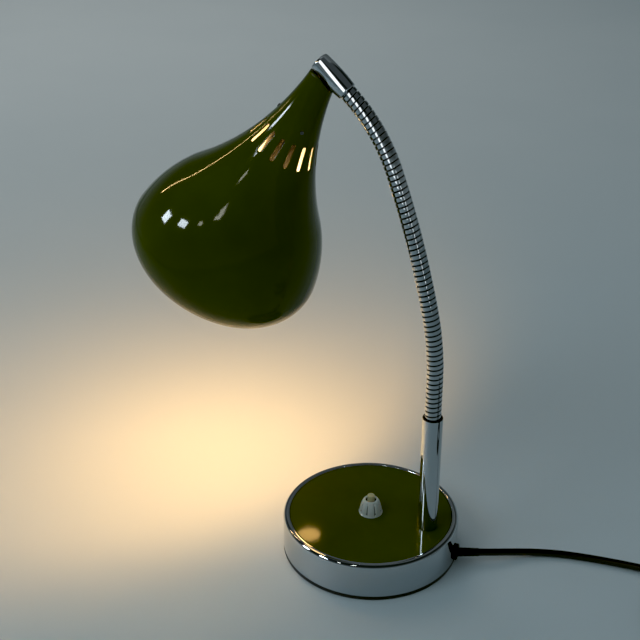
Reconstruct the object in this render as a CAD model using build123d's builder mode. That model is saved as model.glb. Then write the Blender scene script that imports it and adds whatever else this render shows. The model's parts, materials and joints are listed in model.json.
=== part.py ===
"""A desk lamp: a weighted round base, a chromed stem, a flexible neck and an onion-shaped shade.

Millimetres, +Z up. The origin is the centre of the base's underside, where it stands on the table.
+X points from the base's centre to the stem, and the neck bends over towards -X.
"""
import math
import os

from build123d import *

os.makedirs("parts", exist_ok=True)

# Fits between pieces
fit = 0.05  # a shaft in its hole, on the radius
seat_gap = 0.3  # a loose piece beside its neighbour

# Base
base_diameter = 150.0
base_height = 34.5
foot_height = 2.6
foot_inset = 1.0
ring_wall = 1.5
rim_width = 5.4
rim_fillet = 2.0
lip_height = 3.0
plate_gap = 0.6
plate_recess = 1.0
plate_thickness = 1.2
weight_thickness = 12.0
cover_thickness = 2.0
cover_screw_circle = 100.0
cover_screw_radius = 1.6
cover_screw_head = 3.2
cover_screw_depth = 8.0
boss_radius = 5.0

# Switch
collar_radius = 10.2
collar_flange = 1.0
collar_height = 12.9
collar_top_radius = 5.2
collar_mouth_radius = 4.2
flute_count = 8
flute_width = 1.2
flute_depth = 0.8
button_radius = 3.15
button_stand = 4.4
button_flange_radius = 4.6
button_flange_height = 2.0
switch_neck_radius = 5.6
switch_neck_height = 4.0
switch_body_radius = 11.0
switch_body_depth = 17.0
switch_floor = 2.0
spring_radius = 4.0
spring_wall = 0.7
terminal_length = 6.0
terminal_width = 14.0
terminal_height = 7.0

# Stem
stem_inset = 24.0  # from the base's edge to the stem's middle
stem_radius = 8.3
stem_wall = 1.2
stem_height = 107.5
insert_height = 12.0
nipple_radius = 4.95
nipple_bore = 3.2
nut_height = 4.5
nut_size = 17.0
washer_radius = 10.5
washer_height = 1.0
nut_recess_radius = 12.0
socket_height = 18.0
socket_depth = 5.0

# Neck: a straight start and three bends, each smoother or tighter than the last
neck_straight = 32.4
neck_bends = ((269.0, 12.6), (815.0, 8.0), (142.0, 27.3))
neck_radius = 6.6
neck_root_radius = 5.4
neck_bore_radius = 4.6
neck_sections = 13
ribs_per_section = 5
groove_width = 1.05
rib_slope = 0.35
spigot_radius = 6.0
ball_radius = 4.3
ball_top_angle = 38.0
ball_seat = 4.5
lead_radius = 2.4
lead_room = 0.5

# Head barrel, which lies across the top of the shade
barrel_length = 31.0
barrel_end_radius = 7.6
barrel_middle_radius = 8.3
barrel_fillet = 2.4
barrel_bore_radius = 6.5
barrel_end_wall = 2.5
journal_length = 9.0
barrel_crossing = 21.8

# Shade: its outline is a hollow neck arc, a shoulder arc and a tighter mouth arc
shade_tilt = 30.0
shade_wall = 1.0
shade_start = 4.0
shade_start_radius = 10.5
shade_start_angle = 5.9
neck_arc_radius = 233.0
neck_arc_turn = 31.2
shoulder_arc_radius = 119.0
shoulder_arc_turn = 26.2
mouth_arc_radius = 34.0
mouth_arc_turn = 57.4
slot_count = 15
slot_phase = 5.3
slot_middle = 63.6
slot_length = 17.8
slot_width = 3.5
slot_reach = 14.0

# Shade fixing and lampholder, by their depth below the barrel's axis
pipe_radius = 4.0
pipe_bore = 3.0
pipe_start = 3.0
pipe_engagement = 6.0  # how far the pipe goes into the lampholder
pipe_nut_size = 14.0
pipe_nut_height = 3.0
carrier_thickness = 2.0
carrier_skirt = 6.0
nut_clearance = 5.0  # from the lower nut to the lampholder
set_screw_radius = 1.5
set_screw_stand = 0.5
set_screw_phase = 145.3
holder_depth = 50.0
holder_radius = 13.6
holder_cap_height = 16.0
holder_sleeve_height = 24.0
holder_wall = 2.2
contact_radius = 3.0
contact_height = 2.0
bulb_cap_radius = 6.9
bulb_cap_height = 22.0
bulb_radius = 22.5
bulb_length = 58.0
bulb_neck_radius = 6.6
glass_wall = 0.8
mount_radius = 2.6
mount_height = 16.0
filament_radius = 0.5
filament_height = 16.0
filament_spread = 7.0

# Mains lead
cord_radius = 3.1
cord_height = 9.5
cord_angle = 5.0
bushing_radius = 7.0
bushing_flange = 2.5
bushing_neck_radius = 4.6
sleeve_length = 18.0
sleeve_tip_radius = 3.5
inner_lead_height = 11.5
clamp_x = 30.0
clamp_length = 10.0
clamp_width = 20.0
clamp_wall = 1.2
clamp_screw_radius = 1.6
wire_radius = 0.9
wire_spacing = 2.6

# Coil of spare lead, its tie and its plug
coil_x = 286.0
coil_way = -1  # it winds towards -Y
coil_radius = 47.5
coil_low_halves = 6
coil_high_halves = 5
turn_gap = 0.6
tie_width = 12.0
tie_thickness = 0.8
plug_length = 34.0
plug_width = 27.0
plug_thickness = 14.0
plug_neck_width = 13.0
plug_sleeve_length = 22.0
plug_sleeve_radius = 5.0
plug_fillet = 3.0
pin_radius = 2.0
pin_length = 19.0
pin_spacing = 18.6

# The free lead's route over the table, from the bushing's sleeve to the coil, by its middle
cord_route = (
    (103.0, 18.3, 8.9),
    (118.0, 29.0, 6.2),
    (136.0, 40.0, 3.8),
    (156.0, 47.2, 3.1),
    (178.0, 51.2, 3.1),
    (200.0, 53.8, 3.2),
    (222.0, 55.1, 3.7),
    (243.0, 54.9, 4.1),
    (262.5, 54.4, 4.25),
)
# The lead's other end, from the top of the coil down to the plug
tail_lead = 12.0
tail_route = (
    (323.0, 51.8, 9.2),
    (341.0, 42.8, 6.0),
    (353.0, 26.8, 5.6),
    (358.0, 6.8, 7.0),
)
tail_end = (358.0, -7.2, 7.0)


def finish(piece, name):
    """Label a finished piece and write it to its own file."""
    piece.part.label = name
    export_step(piece.part, f"parts/{name}.step")


# Levels and radii that follow from the sizes above
ring_radius = base_diameter / 2
stem_offset = ring_radius - stem_inset
opening_radius = ring_radius - rim_width
plate_radius = opening_radius - plate_gap
plate_top = base_height - plate_recess
plate_bottom = plate_top - plate_thickness
lip_bottom = base_height - lip_height
weight_bottom = plate_bottom - weight_thickness
weight_radius = ring_radius - ring_wall - seat_gap
cover_top = foot_height + cover_thickness
exit_turn = math.radians(cord_angle)
exit_way = Vector(math.cos(exit_turn), math.sin(exit_turn), 0)

# Base ring: a spun shell with its rim turned in and down
with BuildPart() as base_ring:
    with BuildSketch(Plane.XZ):
        with BuildLine():
            Polyline(
                (ring_radius - ring_wall, foot_height),
                (ring_radius, foot_height),
                (ring_radius, base_height),
                (opening_radius, base_height),
                (opening_radius, lip_bottom),
                (opening_radius + ring_wall, lip_bottom),
                (opening_radius + ring_wall, base_height - ring_wall),
                (ring_radius - ring_wall, base_height - ring_wall),
                close=True,
            )
        make_face()
    revolve(axis=Axis.Z)
    rim_edges = base_ring.edges().filter_by(GeomType.CIRCLE).group_by(Axis.Z)[-1]
    fillet(rim_edges.sort_by(SortBy.RADIUS)[-1], rim_fillet)
    with BuildSketch(Plane((0, 0, cord_height), z_dir=exit_way)):
        Circle(bushing_neck_radius + fit)
    extrude(amount=base_diameter, mode=Mode.SUBTRACT)
finish(base_ring, "base_ring")

# Enamelled top plate, with holes for the stem and the switch
with BuildPart() as top_plate:
    with BuildSketch(Plane.XY.offset(plate_bottom)):
        Circle(plate_radius)
        Circle(switch_neck_radius + fit, mode=Mode.SUBTRACT)
        with Locations((stem_offset, 0)):
            Circle(nipple_radius + fit, mode=Mode.SUBTRACT)
    extrude(amount=plate_thickness)
finish(top_plate, "top_plate")

# Cast weight with three bosses that carry the bottom cover
with BuildPart() as base_weight:
    with BuildSketch(Plane.XY.offset(weight_bottom)):
        Circle(weight_radius)
    extrude(amount=lip_bottom - weight_bottom)
    with BuildSketch(Plane.XY.offset(weight_bottom)):
        Circle(plate_radius)
    extrude(amount=weight_thickness)
    with BuildSketch(Plane.XY.offset(cover_top)):
        with PolarLocations(cover_screw_circle / 2, 3, start_angle=60):
            Circle(boss_radius)
    extrude(amount=weight_bottom - cover_top)
    with BuildSketch(Plane.XY.offset(cover_top)):
        with PolarLocations(cover_screw_circle / 2, 3, start_angle=60):
            Circle(cover_screw_radius)
    extrude(amount=cover_screw_depth, mode=Mode.SUBTRACT)
    with BuildSketch(Plane.XY.offset(weight_bottom)):
        Circle(switch_body_radius + seat_gap)
        with Locations((stem_offset, 0)):
            Circle(nipple_radius + fit)
    extrude(amount=weight_thickness, mode=Mode.SUBTRACT)
    with BuildSketch(Plane.XY.offset(weight_bottom)):
        with Locations((stem_offset, 0)):
            Circle(nut_recess_radius)
    extrude(amount=nut_height + washer_height + seat_gap, mode=Mode.SUBTRACT)
finish(base_weight, "base_weight")

with BuildPart() as bottom_cover:
    with BuildSketch(Plane.XY.offset(foot_height)):
        Circle(weight_radius)
    extrude(amount=cover_thickness)
    with Locations(Plane.XY.offset(foot_height).rotated((180, 0, 0))):
        with PolarLocations(cover_screw_circle / 2, 3, start_angle=60):
            CounterSinkHole(cover_screw_radius + fit, cover_screw_head, counter_sink_angle=90)
finish(bottom_cover, "bottom_cover")

screw_top = cover_top + cover_screw_depth - seat_gap
with BuildPart() as cover_screws:
    for turn in (60, 180, 300):
        place = Vector(cover_screw_circle / 2, 0, 0).rotate(Axis.Z, turn)
        with BuildSketch(Plane(place, x_dir=(1, 0, 0), z_dir=(0, -1, 0))):
            with BuildLine():
                Polyline(
                    (0, foot_height),
                    (cover_screw_head - fit, foot_height),
                    (cover_screw_radius - fit, foot_height + cover_screw_head - cover_screw_radius),
                    (cover_screw_radius - fit, screw_top),
                    (0, screw_top),
                    close=True,
                )
            make_face()
        revolve(axis=Axis(place, (0, 0, 1)))
finish(cover_screws, "cover_screws")

with BuildPart() as foot_pad:
    with BuildSketch(Plane.XY):
        Circle(ring_radius - foot_inset)
    extrude(amount=foot_height)
finish(foot_pad, "foot_pad")

# Push switch: its body hangs under the plate, its threaded neck takes the fluted collar
switch_bottom = plate_bottom - switch_body_depth
neck_top = plate_top + switch_neck_height
flange_top = plate_bottom - seat_gap
flange_bottom = flange_top - button_flange_height
cavity_radius = button_flange_radius + seat_gap
with BuildPart() as switch_body:
    with BuildSketch(Plane.XY.offset(switch_bottom)):
        Circle(switch_body_radius)
    extrude(amount=switch_body_depth)
    with BuildSketch(Plane.XY.offset(plate_bottom)):
        Circle(switch_neck_radius)
    extrude(amount=neck_top - plate_bottom)
    with BuildSketch(Plane.XY.offset(switch_bottom + switch_floor)):
        Circle(cavity_radius)
    extrude(amount=switch_body_depth - switch_floor, mode=Mode.SUBTRACT)
    with BuildSketch(Plane.XY.offset(plate_bottom)):
        Circle(button_radius + fit)
    extrude(amount=neck_top - plate_bottom, mode=Mode.SUBTRACT)
finish(switch_body, "switch_body")

with BuildPart() as switch_collar:
    with BuildSketch(Plane.XZ):
        with BuildLine():
            foot_edge = Polyline(
                (switch_neck_radius + fit, plate_top),
                (collar_radius, plate_top),
                (collar_radius, plate_top + collar_flange),
                (collar_radius - flute_depth, plate_top + collar_flange),
            )
            dome = TangentArc(
                foot_edge @ 1,
                (collar_top_radius, plate_top + collar_height),
                tangent=(0, 1),
            )
            Polyline(
                dome @ 1,
                (collar_mouth_radius, plate_top + collar_height),
                (collar_mouth_radius, neck_top + seat_gap),
                (switch_neck_radius + fit, neck_top + seat_gap),
                (switch_neck_radius + fit, plate_top),
            )
        make_face()
    revolve(axis=Axis.Z)
    for flute in range(flute_count):
        outward = Vector(1, 0, 0).rotate(Axis.Z, flute * 360 / flute_count)
        with BuildSketch(Plane((0, 0, plate_top), x_dir=outward, z_dir=outward.cross(Vector(0, 0, 1)))):
            with BuildLine():
                groove = TangentArc(
                    (collar_radius - 2 * flute_depth, collar_flange),
                    (collar_top_radius, collar_height - flute_depth),
                    tangent=(0, 1),
                )
                Polyline(
                    groove @ 1,
                    (collar_radius, collar_height - flute_depth),
                    (collar_radius, collar_flange),
                    groove @ 0,
                )
            make_face()
        extrude(amount=flute_width / 2, both=True, mode=Mode.SUBTRACT)
finish(switch_collar, "switch_collar")

button_top = plate_top + collar_height + button_stand
with BuildPart() as switch_button:
    with BuildSketch(Plane.XY.offset(flange_bottom)):
        Circle(button_flange_radius)
    extrude(amount=button_flange_height)
    with BuildSketch(Plane.XY.offset(flange_bottom)):
        Circle(button_radius)
    extrude(amount=button_top - flange_bottom)
    fillet(switch_button.edges().group_by(Axis.Z)[-1], button_radius / 4)
finish(switch_button, "switch_button")

# The return spring, as the sleeve that its turns fill
with BuildPart() as switch_spring:
    with BuildSketch(Plane.XY.offset(switch_bottom + switch_floor)):
        Circle(spring_radius)
        Circle(spring_radius - spring_wall, mode=Mode.SUBTRACT)
    extrude(amount=flange_bottom - switch_bottom - switch_floor)
finish(switch_spring, "switch_spring")

with BuildPart() as switch_terminals:
    with BuildSketch(Plane.XY.offset(switch_bottom - terminal_height)):
        Rectangle(terminal_length, terminal_width)
    extrude(amount=terminal_height)
finish(switch_terminals, "switch_terminals")

# Stem: a tube on a brass insert, drawn down on the plate by a hollow threaded nipple
stem_top = plate_top + stem_height
stem_bore = stem_radius - stem_wall
nut_top = weight_bottom + nut_height + seat_gap
nipple_bottom = weight_bottom + seat_gap
socket_top = stem_top - socket_depth
stem_foot = Plane((stem_offset, 0, plate_top))
with BuildPart() as stem_tube:
    with BuildSketch(stem_foot):
        Circle(stem_radius)
        Circle(stem_bore, mode=Mode.SUBTRACT)
    extrude(amount=stem_height)
    fillet(stem_tube.edges().group_by(Axis.Z)[-1].sort_by(SortBy.RADIUS)[-1], stem_wall / 2)
finish(stem_tube, "stem_tube")

with BuildPart() as stem_insert:
    with BuildSketch(stem_foot):
        Circle(stem_bore - fit)
        Circle(nipple_radius + fit, mode=Mode.SUBTRACT)
    extrude(amount=insert_height)
finish(stem_insert, "stem_insert")

with BuildPart() as stem_nipple:
    with BuildSketch(Plane((stem_offset, 0, nipple_bottom))):
        Circle(nipple_radius)
        Circle(nipple_bore, mode=Mode.SUBTRACT)
    extrude(amount=plate_top + insert_height - nipple_bottom)
finish(stem_nipple, "stem_nipple")

with BuildPart() as stem_nut:
    with BuildSketch(Plane((stem_offset, 0, nut_top - nut_height))):
        RegularPolygon(nut_size / 2, 6, major_radius=False)
        Circle(nipple_radius + fit, mode=Mode.SUBTRACT)
    extrude(amount=nut_height)
finish(stem_nut, "stem_nut")

with BuildPart() as stem_washer:
    with BuildSketch(Plane((stem_offset, 0, nut_top))):
        Circle(washer_radius)
        Circle(nipple_radius + fit, mode=Mode.SUBTRACT)
    extrude(amount=washer_height)
finish(stem_washer, "stem_washer")

with BuildPart() as neck_socket:
    with BuildSketch(Plane((stem_offset, 0, socket_top - socket_height))):
        Circle(stem_bore - fit)
        Circle(spigot_radius + fit, mode=Mode.SUBTRACT)
    extrude(amount=socket_height)
finish(neck_socket, "neck_socket")

# The neck's centre line, from the stem's top to the head barrel
with BuildLine(Plane.XZ) as neck_line:
    stretch = Line((stem_offset, stem_top), (stem_offset, stem_top + neck_straight))
    for bend_radius, bend_turn in neck_bends:
        stretch = JernArc(stretch @ 1, stretch % 1, bend_radius, bend_turn)
neck_wire = neck_line.wire()
neck_length = neck_wire.length
section_length = neck_length / neck_sections
rib_pitch = section_length / ribs_per_section
rib_width = rib_pitch - groove_width
bore_length = section_length - groove_width / 2 - ball_seat


def neck_plane(distance):
    """The plane square to the neck at a distance along it, with its X axis always across the lamp."""
    inside = min(max(distance, 0), neck_length)
    place = neck_wire.position_at(inside, position_mode=PositionMode.LENGTH)
    ahead = neck_wire.tangent_at(inside, position_mode=PositionMode.LENGTH)
    return Plane(place + ahead * (distance - inside), x_dir=(0, 1, 0), z_dir=ahead)


# Neck sections: ribbed lengths of hose, each with a ball that sits in the bore of the next
for number in range(1, neck_sections + 1):
    section_start = (number - 1) * section_length
    section_end = number * section_length
    with BuildPart() as neck_section:
        for rib in range(ribs_per_section):
            rib_start = section_start + groove_width / 2 + rib * rib_pitch
            for step, radius in (
                (0, neck_root_radius),
                (rib_slope, neck_radius),
                (rib_width - rib_slope, neck_radius),
                (rib_width, neck_root_radius),
            ):
                with BuildSketch(neck_plane(rib_start + step)):
                    Circle(radius)
        loft(ruled=True)
        for step in range(ribs_per_section):
            with BuildSketch(neck_plane(section_start + bore_length * step / (ribs_per_section - 1))):
                Circle(neck_bore_radius)
        loft(ruled=True, mode=Mode.SUBTRACT)
        if number == 1:
            with BuildSketch(neck_plane(groove_width)):
                Circle(spigot_radius)
                Circle(neck_bore_radius, mode=Mode.SUBTRACT)
            extrude(amount=-groove_width - socket_depth - socket_height)
        if number < neck_sections:
            with Locations(neck_plane(section_end)):
                Sphere(ball_radius, arc_size2=ball_top_angle)
        else:
            with BuildSketch(neck_plane(neck_length).offset(-groove_width)):
                Circle(spigot_radius)
            extrude(amount=groove_width + journal_length)
        with BuildSketch(neck_plane(section_end - groove_width / 2 - ball_seat - seat_gap)):
            Circle(lead_radius + lead_room)
        extrude(amount=journal_length * 2, mode=Mode.SUBTRACT)
    finish(neck_section, f"neck_section_{number:02d}")
    pivot = neck_plane(section_end)
    print(
        f"neck pivot {number:02d}: {pivot.origin.X:.4f} {pivot.origin.Z:.4f}",
        f"along {pivot.z_dir.X:.6f} {pivot.z_dir.Z:.6f}",
    )

# Head barrel: a closed chromed sleeve, swollen at its middle
head = neck_plane(neck_length)
barrel_axis = head.z_dir
barrel_entry = head.origin + barrel_axis * seat_gap
crossing = head.origin + barrel_axis * barrel_crossing
tilt = math.radians(shade_tilt)
shade_axis = Vector(-math.sin(tilt), 0, -math.cos(tilt))


def shade_plane(depth):
    """The plane square to the shade's axis at a depth below the barrel's axis."""
    return Plane(crossing + shade_axis * depth, x_dir=(0, 1, 0), z_dir=shade_axis)


def axial_section(origin, axis):
    """The sketch plane through an axis: X is the radius, Y runs along the axis."""
    return Plane(origin, x_dir=(0, 1, 0), z_dir=Vector(0, 1, 0).cross(axis))


with BuildPart() as head_barrel:
    with BuildSketch(axial_section(barrel_entry, barrel_axis)):
        with BuildLine():
            side = ThreePointArc(
                (barrel_end_radius, 0),
                (barrel_middle_radius, barrel_length / 2),
                (barrel_end_radius, barrel_length),
            )
            Polyline(
                side @ 1,
                (0, barrel_length),
                (0, barrel_length - barrel_end_wall),
                (barrel_bore_radius, barrel_length - barrel_end_wall),
                (barrel_bore_radius, journal_length),
                (spigot_radius + fit, journal_length),
                (spigot_radius + fit, 0),
                side @ 0,
            )
        make_face()
    revolve(axis=Axis(barrel_entry, barrel_axis))
    end_edges = head_barrel.edges().filter_by(GeomType.CIRCLE).sort_by(Axis(barrel_entry, barrel_axis))
    fillet(end_edges[-1], barrel_fillet)
    with BuildSketch(shade_plane(0)):
        Circle(pipe_radius + fit)
    extrude(amount=barrel_middle_radius * 2, mode=Mode.SUBTRACT)
finish(head_barrel, "head_barrel")


def shade_outline(inset):
    """The shade's outline, drawn in by an inset: three arcs that run on from each other."""
    lean = math.radians(shade_start_angle)
    ahead = (math.sin(lean), math.cos(lean))
    start = (shade_start_radius - inset * ahead[1], shade_start + inset * ahead[0])
    hollow = JernArc(start, ahead, neck_arc_radius + inset, -neck_arc_turn)
    shoulder = JernArc(hollow @ 1, hollow % 1, shoulder_arc_radius - inset, shoulder_arc_turn)
    mouth = JernArc(shoulder @ 1, shoulder % 1, mouth_arc_radius - inset, mouth_arc_turn)
    return start, mouth @ 1


def inner_radius(depth):
    """The shade's inner radius at a depth within its hollow neck arc."""
    lean = math.radians(shade_start_angle)
    radius = neck_arc_radius + shade_wall
    first = shade_start + shade_wall * math.sin(lean)
    slope = math.asin(math.sin(lean) + (depth - first) / radius)
    return shade_start_radius - shade_wall * math.cos(lean) + radius * (math.cos(lean) - math.cos(slope))


pipe_length = holder_depth + pipe_engagement - pipe_start
carrier_depth = holder_depth - nut_clearance - pipe_nut_height - carrier_thickness
with BuildPart() as shade:
    with BuildSketch(axial_section(crossing, shade_axis)):
        with BuildLine():
            outer_start, outer_end = shade_outline(0)
            inner_start, inner_end = shade_outline(shade_wall)
            Line(outer_start, inner_start)
            Line(outer_end, inner_end)
        make_face()
    revolve(axis=Axis(crossing, shade_axis))
    level = (shade_axis - barrel_axis * shade_axis.dot(barrel_axis)).normalized()
    rest = crossing + level * (barrel_middle_radius + seat_gap)
    split(bisect_by=Plane(rest, z_dir=level), keep=Keep.TOP)
    for slot in range(slot_count):
        across = Vector(0, 1, 0).rotate(Axis((0, 0, 0), shade_axis), slot_phase + slot * 360 / slot_count)
        slot_face = Plane(crossing + shade_axis * slot_middle, x_dir=shade_axis, z_dir=across)
        with BuildSketch(slot_face.offset(slot_reach)):
            SlotOverall(slot_length, slot_width)
        extrude(amount=slot_reach * 2, mode=Mode.SUBTRACT)
    screw_depth = carrier_depth + carrier_thickness + carrier_skirt / 2
    for screw in range(3):
        across = Vector(0, 1, 0).rotate(Axis((0, 0, 0), shade_axis), set_screw_phase + screw * 120)
        with BuildSketch(Plane(crossing + shade_axis * screw_depth, z_dir=across)):
            Circle(set_screw_radius + fit)
        extrude(amount=inner_radius(screw_depth) * 2, mode=Mode.SUBTRACT)
finish(shade, "shade")

# Shade fixing: a threaded pipe, two nuts and a pressed carrier that the set screws hold
carrier_radius = inner_radius(carrier_depth) - seat_gap
skirt_radius = carrier_radius - carrier_thickness
with BuildPart() as shade_pipe:
    with BuildSketch(shade_plane(pipe_start)):
        Circle(pipe_radius)
        Circle(pipe_bore, mode=Mode.SUBTRACT)
    extrude(amount=pipe_length)
finish(shade_pipe, "shade_pipe")

with BuildPart() as shade_carrier:
    with BuildSketch(shade_plane(carrier_depth)):
        Circle(carrier_radius)
        Circle(pipe_radius + fit, mode=Mode.SUBTRACT)
    extrude(amount=carrier_thickness)
    with BuildSketch(shade_plane(carrier_depth + carrier_thickness)):
        Circle(carrier_radius)
        Circle(skirt_radius, mode=Mode.SUBTRACT)
    extrude(amount=carrier_skirt)
    for screw in range(3):
        across = Vector(0, 1, 0).rotate(Axis((0, 0, 0), shade_axis), set_screw_phase + screw * 120)
        with BuildSketch(Plane(crossing + shade_axis * screw_depth, z_dir=across)):
            Circle(set_screw_radius + fit)
        extrude(amount=carrier_radius * 2, mode=Mode.SUBTRACT)
finish(shade_carrier, "shade_carrier")

with BuildPart() as shade_nuts:
    for nut_depth in (carrier_depth - pipe_nut_height, carrier_depth + carrier_thickness):
        with BuildSketch(shade_plane(nut_depth)):
            RegularPolygon(pipe_nut_size / 2, 6, major_radius=False)
            Circle(pipe_radius + fit, mode=Mode.SUBTRACT)
        extrude(amount=pipe_nut_height)
finish(shade_nuts, "shade_nuts")

screw_tip = skirt_radius
screw_end = inner_radius(screw_depth) + shade_wall + set_screw_stand
with BuildPart() as set_screws:
    for screw in range(3):
        across = Vector(0, 1, 0).rotate(Axis((0, 0, 0), shade_axis), set_screw_phase + screw * 120)
        with BuildSketch(Plane(crossing + shade_axis * screw_depth + across * screw_tip, z_dir=across)):
            Circle(set_screw_radius)
        extrude(amount=screw_end - screw_tip)
finish(set_screws, "set_screws")

# Lampholder: a domed cap on the pipe's end, a threaded sleeve and its contact
cap_end = holder_depth + holder_cap_height
sleeve_end = cap_end + holder_sleeve_height
with BuildPart() as holder_cap:
    with BuildSketch(shade_plane(holder_depth)):
        Circle(holder_radius)
    extrude(amount=holder_cap_height)
    cap_edges = holder_cap.edges().filter_by(GeomType.CIRCLE).sort_by(Axis(crossing, shade_axis))
    fillet(cap_edges[0], holder_radius / 3)
    with BuildSketch(shade_plane(holder_depth)):
        Circle(pipe_radius + fit)
    extrude(amount=holder_cap_height, mode=Mode.SUBTRACT)
    with BuildSketch(shade_plane(holder_depth + holder_cap_height / 2)):
        Circle(holder_radius - holder_wall)
    extrude(amount=holder_cap_height / 2, mode=Mode.SUBTRACT)
finish(holder_cap, "holder_cap")

with BuildPart() as holder_sleeve:
    with BuildSketch(shade_plane(cap_end)):
        Circle(holder_radius)
    extrude(amount=holder_sleeve_height)
    with BuildSketch(shade_plane(cap_end + holder_wall)):
        Circle(bulb_cap_radius + seat_gap)
    extrude(amount=holder_sleeve_height, mode=Mode.SUBTRACT)
finish(holder_sleeve, "holder_sleeve")

with BuildPart() as holder_contact:
    with BuildSketch(shade_plane(cap_end + holder_wall)):
        Circle(contact_radius)
    extrude(amount=contact_height)
finish(holder_contact, "holder_contact")

# Bulb: a small round one with a screw cap
bulb_start = cap_end + holder_wall + contact_height
glass_start = bulb_start + bulb_cap_height
with BuildPart() as bulb_cap:
    with BuildSketch(shade_plane(bulb_start)):
        Circle(bulb_cap_radius)
    extrude(amount=bulb_cap_height)
    with BuildSketch(shade_plane(bulb_start + glass_wall)):
        Circle(bulb_neck_radius)
    extrude(amount=bulb_cap_height, mode=Mode.SUBTRACT)
finish(bulb_cap, "bulb_cap")


def bulb_outline(inset):
    """The bulb's outline, drawn in by an inset: a straight neck, a shoulder and a round crown."""
    centre = glass_start + bulb_length - bulb_radius
    radius = bulb_radius - inset
    neck = bulb_neck_radius - fit - inset
    foot = bulb_start + glass_wall + fit + inset
    widest = (radius, centre)
    Line((0, foot), (neck, foot))
    stalk = Line((neck, foot), (neck, glass_start))
    Spline(stalk @ 1, widest, tangents=((0, 1), (0, 1)))
    JernArc(widest, (0, 1), radius, 90)
    Line((0, centre + radius), (0, foot))


with BuildPart() as bulb_glass:
    with BuildSketch(axial_section(crossing, shade_axis)):
        with BuildLine():
            bulb_outline(0)
        make_face()
    revolve(axis=Axis(crossing, shade_axis))
    with BuildSketch(axial_section(crossing, shade_axis)):
        with BuildLine():
            bulb_outline(glass_wall)
        make_face()
    revolve(axis=Axis(crossing, shade_axis), mode=Mode.SUBTRACT)
finish(bulb_glass, "bulb_glass")

mount_start = bulb_start + glass_wall * 2 + fit
mount_top = glass_start + mount_height
with BuildPart() as bulb_filament:
    with BuildSketch(shade_plane(mount_start)):
        Circle(mount_radius)
    extrude(amount=mount_top - mount_start)
    with BuildLine(axial_section(crossing, shade_axis)) as filament_line:
        FilletPolyline(
            (mount_radius / 2, mount_top - filament_radius),
            (filament_spread, mount_top + filament_height),
            (0, mount_top + filament_height / 2),
            (-filament_spread, mount_top + filament_height),
            (-mount_radius / 2, mount_top - filament_radius),
            radius=filament_radius * 3,
        )
    with BuildSketch(Plane(filament_line.line @ 0, z_dir=filament_line.line % 0)):
        Circle(filament_radius)
    sweep(path=filament_line.wire())
finish(bulb_filament, "bulb_filament")

# Inner lead: up the stem, through the neck to the barrel, and down the pipe to the lampholder
lead_bottom = weight_bottom - wire_radius * 4
lead_top = head.origin + barrel_axis * (journal_length + seat_gap)
with BuildPart() as neck_lead:
    with BuildLine() as neck_lead_line:
        Line((stem_offset, 0, lead_bottom), (stem_offset, 0, stem_top))
        add(neck_line.line)
        Line(head.origin, lead_top)
    with BuildSketch(Plane((stem_offset, 0, lead_bottom))):
        Circle(lead_radius)
    sweep(path=neck_lead_line.wire())
finish(neck_lead, "neck_lead")

with BuildPart() as holder_lead:
    with BuildSketch(shade_plane(pipe_start)):
        Circle(lead_radius)
    extrude(amount=pipe_length + seat_gap)
finish(holder_lead, "holder_lead")

# Mains lead inside the base, its clamp and the wires to the stem
flange_face = Vector(0, 0, cord_height) + exit_way * (ring_radius + bushing_flange)
sleeve_way = (Vector(cord_route[0]) - flange_face).normalized()
sleeve_tip = flange_face + sleeve_way * sleeve_length
inner_face = Vector(0, 0, cord_height) + exit_way * (ring_radius - ring_wall * 2 - bushing_flange)
with BuildPart() as cord_bushing:
    with BuildSketch(Plane(inner_face, z_dir=exit_way)):
        Circle(bushing_neck_radius)
    extrude(amount=(flange_face - inner_face).length)
    with BuildSketch(Plane(flange_face, z_dir=-exit_way)):
        Circle(bushing_radius)
    extrude(amount=bushing_flange)
    with BuildSketch(Plane(flange_face - sleeve_way * bushing_flange, z_dir=sleeve_way)):
        Circle(bushing_neck_radius)
    with BuildSketch(Plane(sleeve_tip, z_dir=sleeve_way)):
        Circle(sleeve_tip_radius)
    loft()
finish(cord_bushing, "cord_bushing")

with BuildPart() as inner_cord:
    with BuildSketch(Plane(inner_face, z_dir=-exit_way)):
        Circle(cord_radius)
    with BuildSketch(Plane((clamp_x + clamp_length, 0, inner_lead_height), z_dir=(-1, 0, 0))):
        Circle(cord_radius)
    loft()
    with BuildSketch(Plane((clamp_x + clamp_length, 0, inner_lead_height), z_dir=(-1, 0, 0))):
        Circle(cord_radius)
    extrude(amount=clamp_x + clamp_length - terminal_length / 2)
finish(inner_cord, "inner_cord")

clamp_bottom = inner_lead_height - cord_radius - clamp_wall
clamp_top = inner_lead_height + cord_radius + clamp_wall
post_spacing = clamp_width / 2 + cord_radius
with BuildPart() as cord_clamp:
    with BuildSketch(Plane.XY.offset(clamp_bottom)):
        with Locations((clamp_x, 0)):
            Rectangle(clamp_length, clamp_width)
    extrude(amount=clamp_top - clamp_bottom)
    with BuildSketch(Plane.XY.offset(clamp_top)):
        with Locations((clamp_x, post_spacing / 2), (clamp_x, -post_spacing / 2)):
            Circle(clamp_length / 3)
    extrude(amount=weight_bottom - clamp_top)
    with BuildSketch(Plane((clamp_x - clamp_length / 2, 0, inner_lead_height), z_dir=(1, 0, 0))):
        Circle(cord_radius + fit)
    extrude(amount=clamp_length, mode=Mode.SUBTRACT)
    with BuildSketch(Plane.XY.offset(clamp_bottom)):
        with Locations((clamp_x, post_spacing / 2), (clamp_x, -post_spacing / 2)):
            Circle(clamp_screw_radius + fit)
    extrude(amount=weight_bottom - clamp_bottom, mode=Mode.SUBTRACT)
finish(cord_clamp, "cord_clamp")

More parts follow.
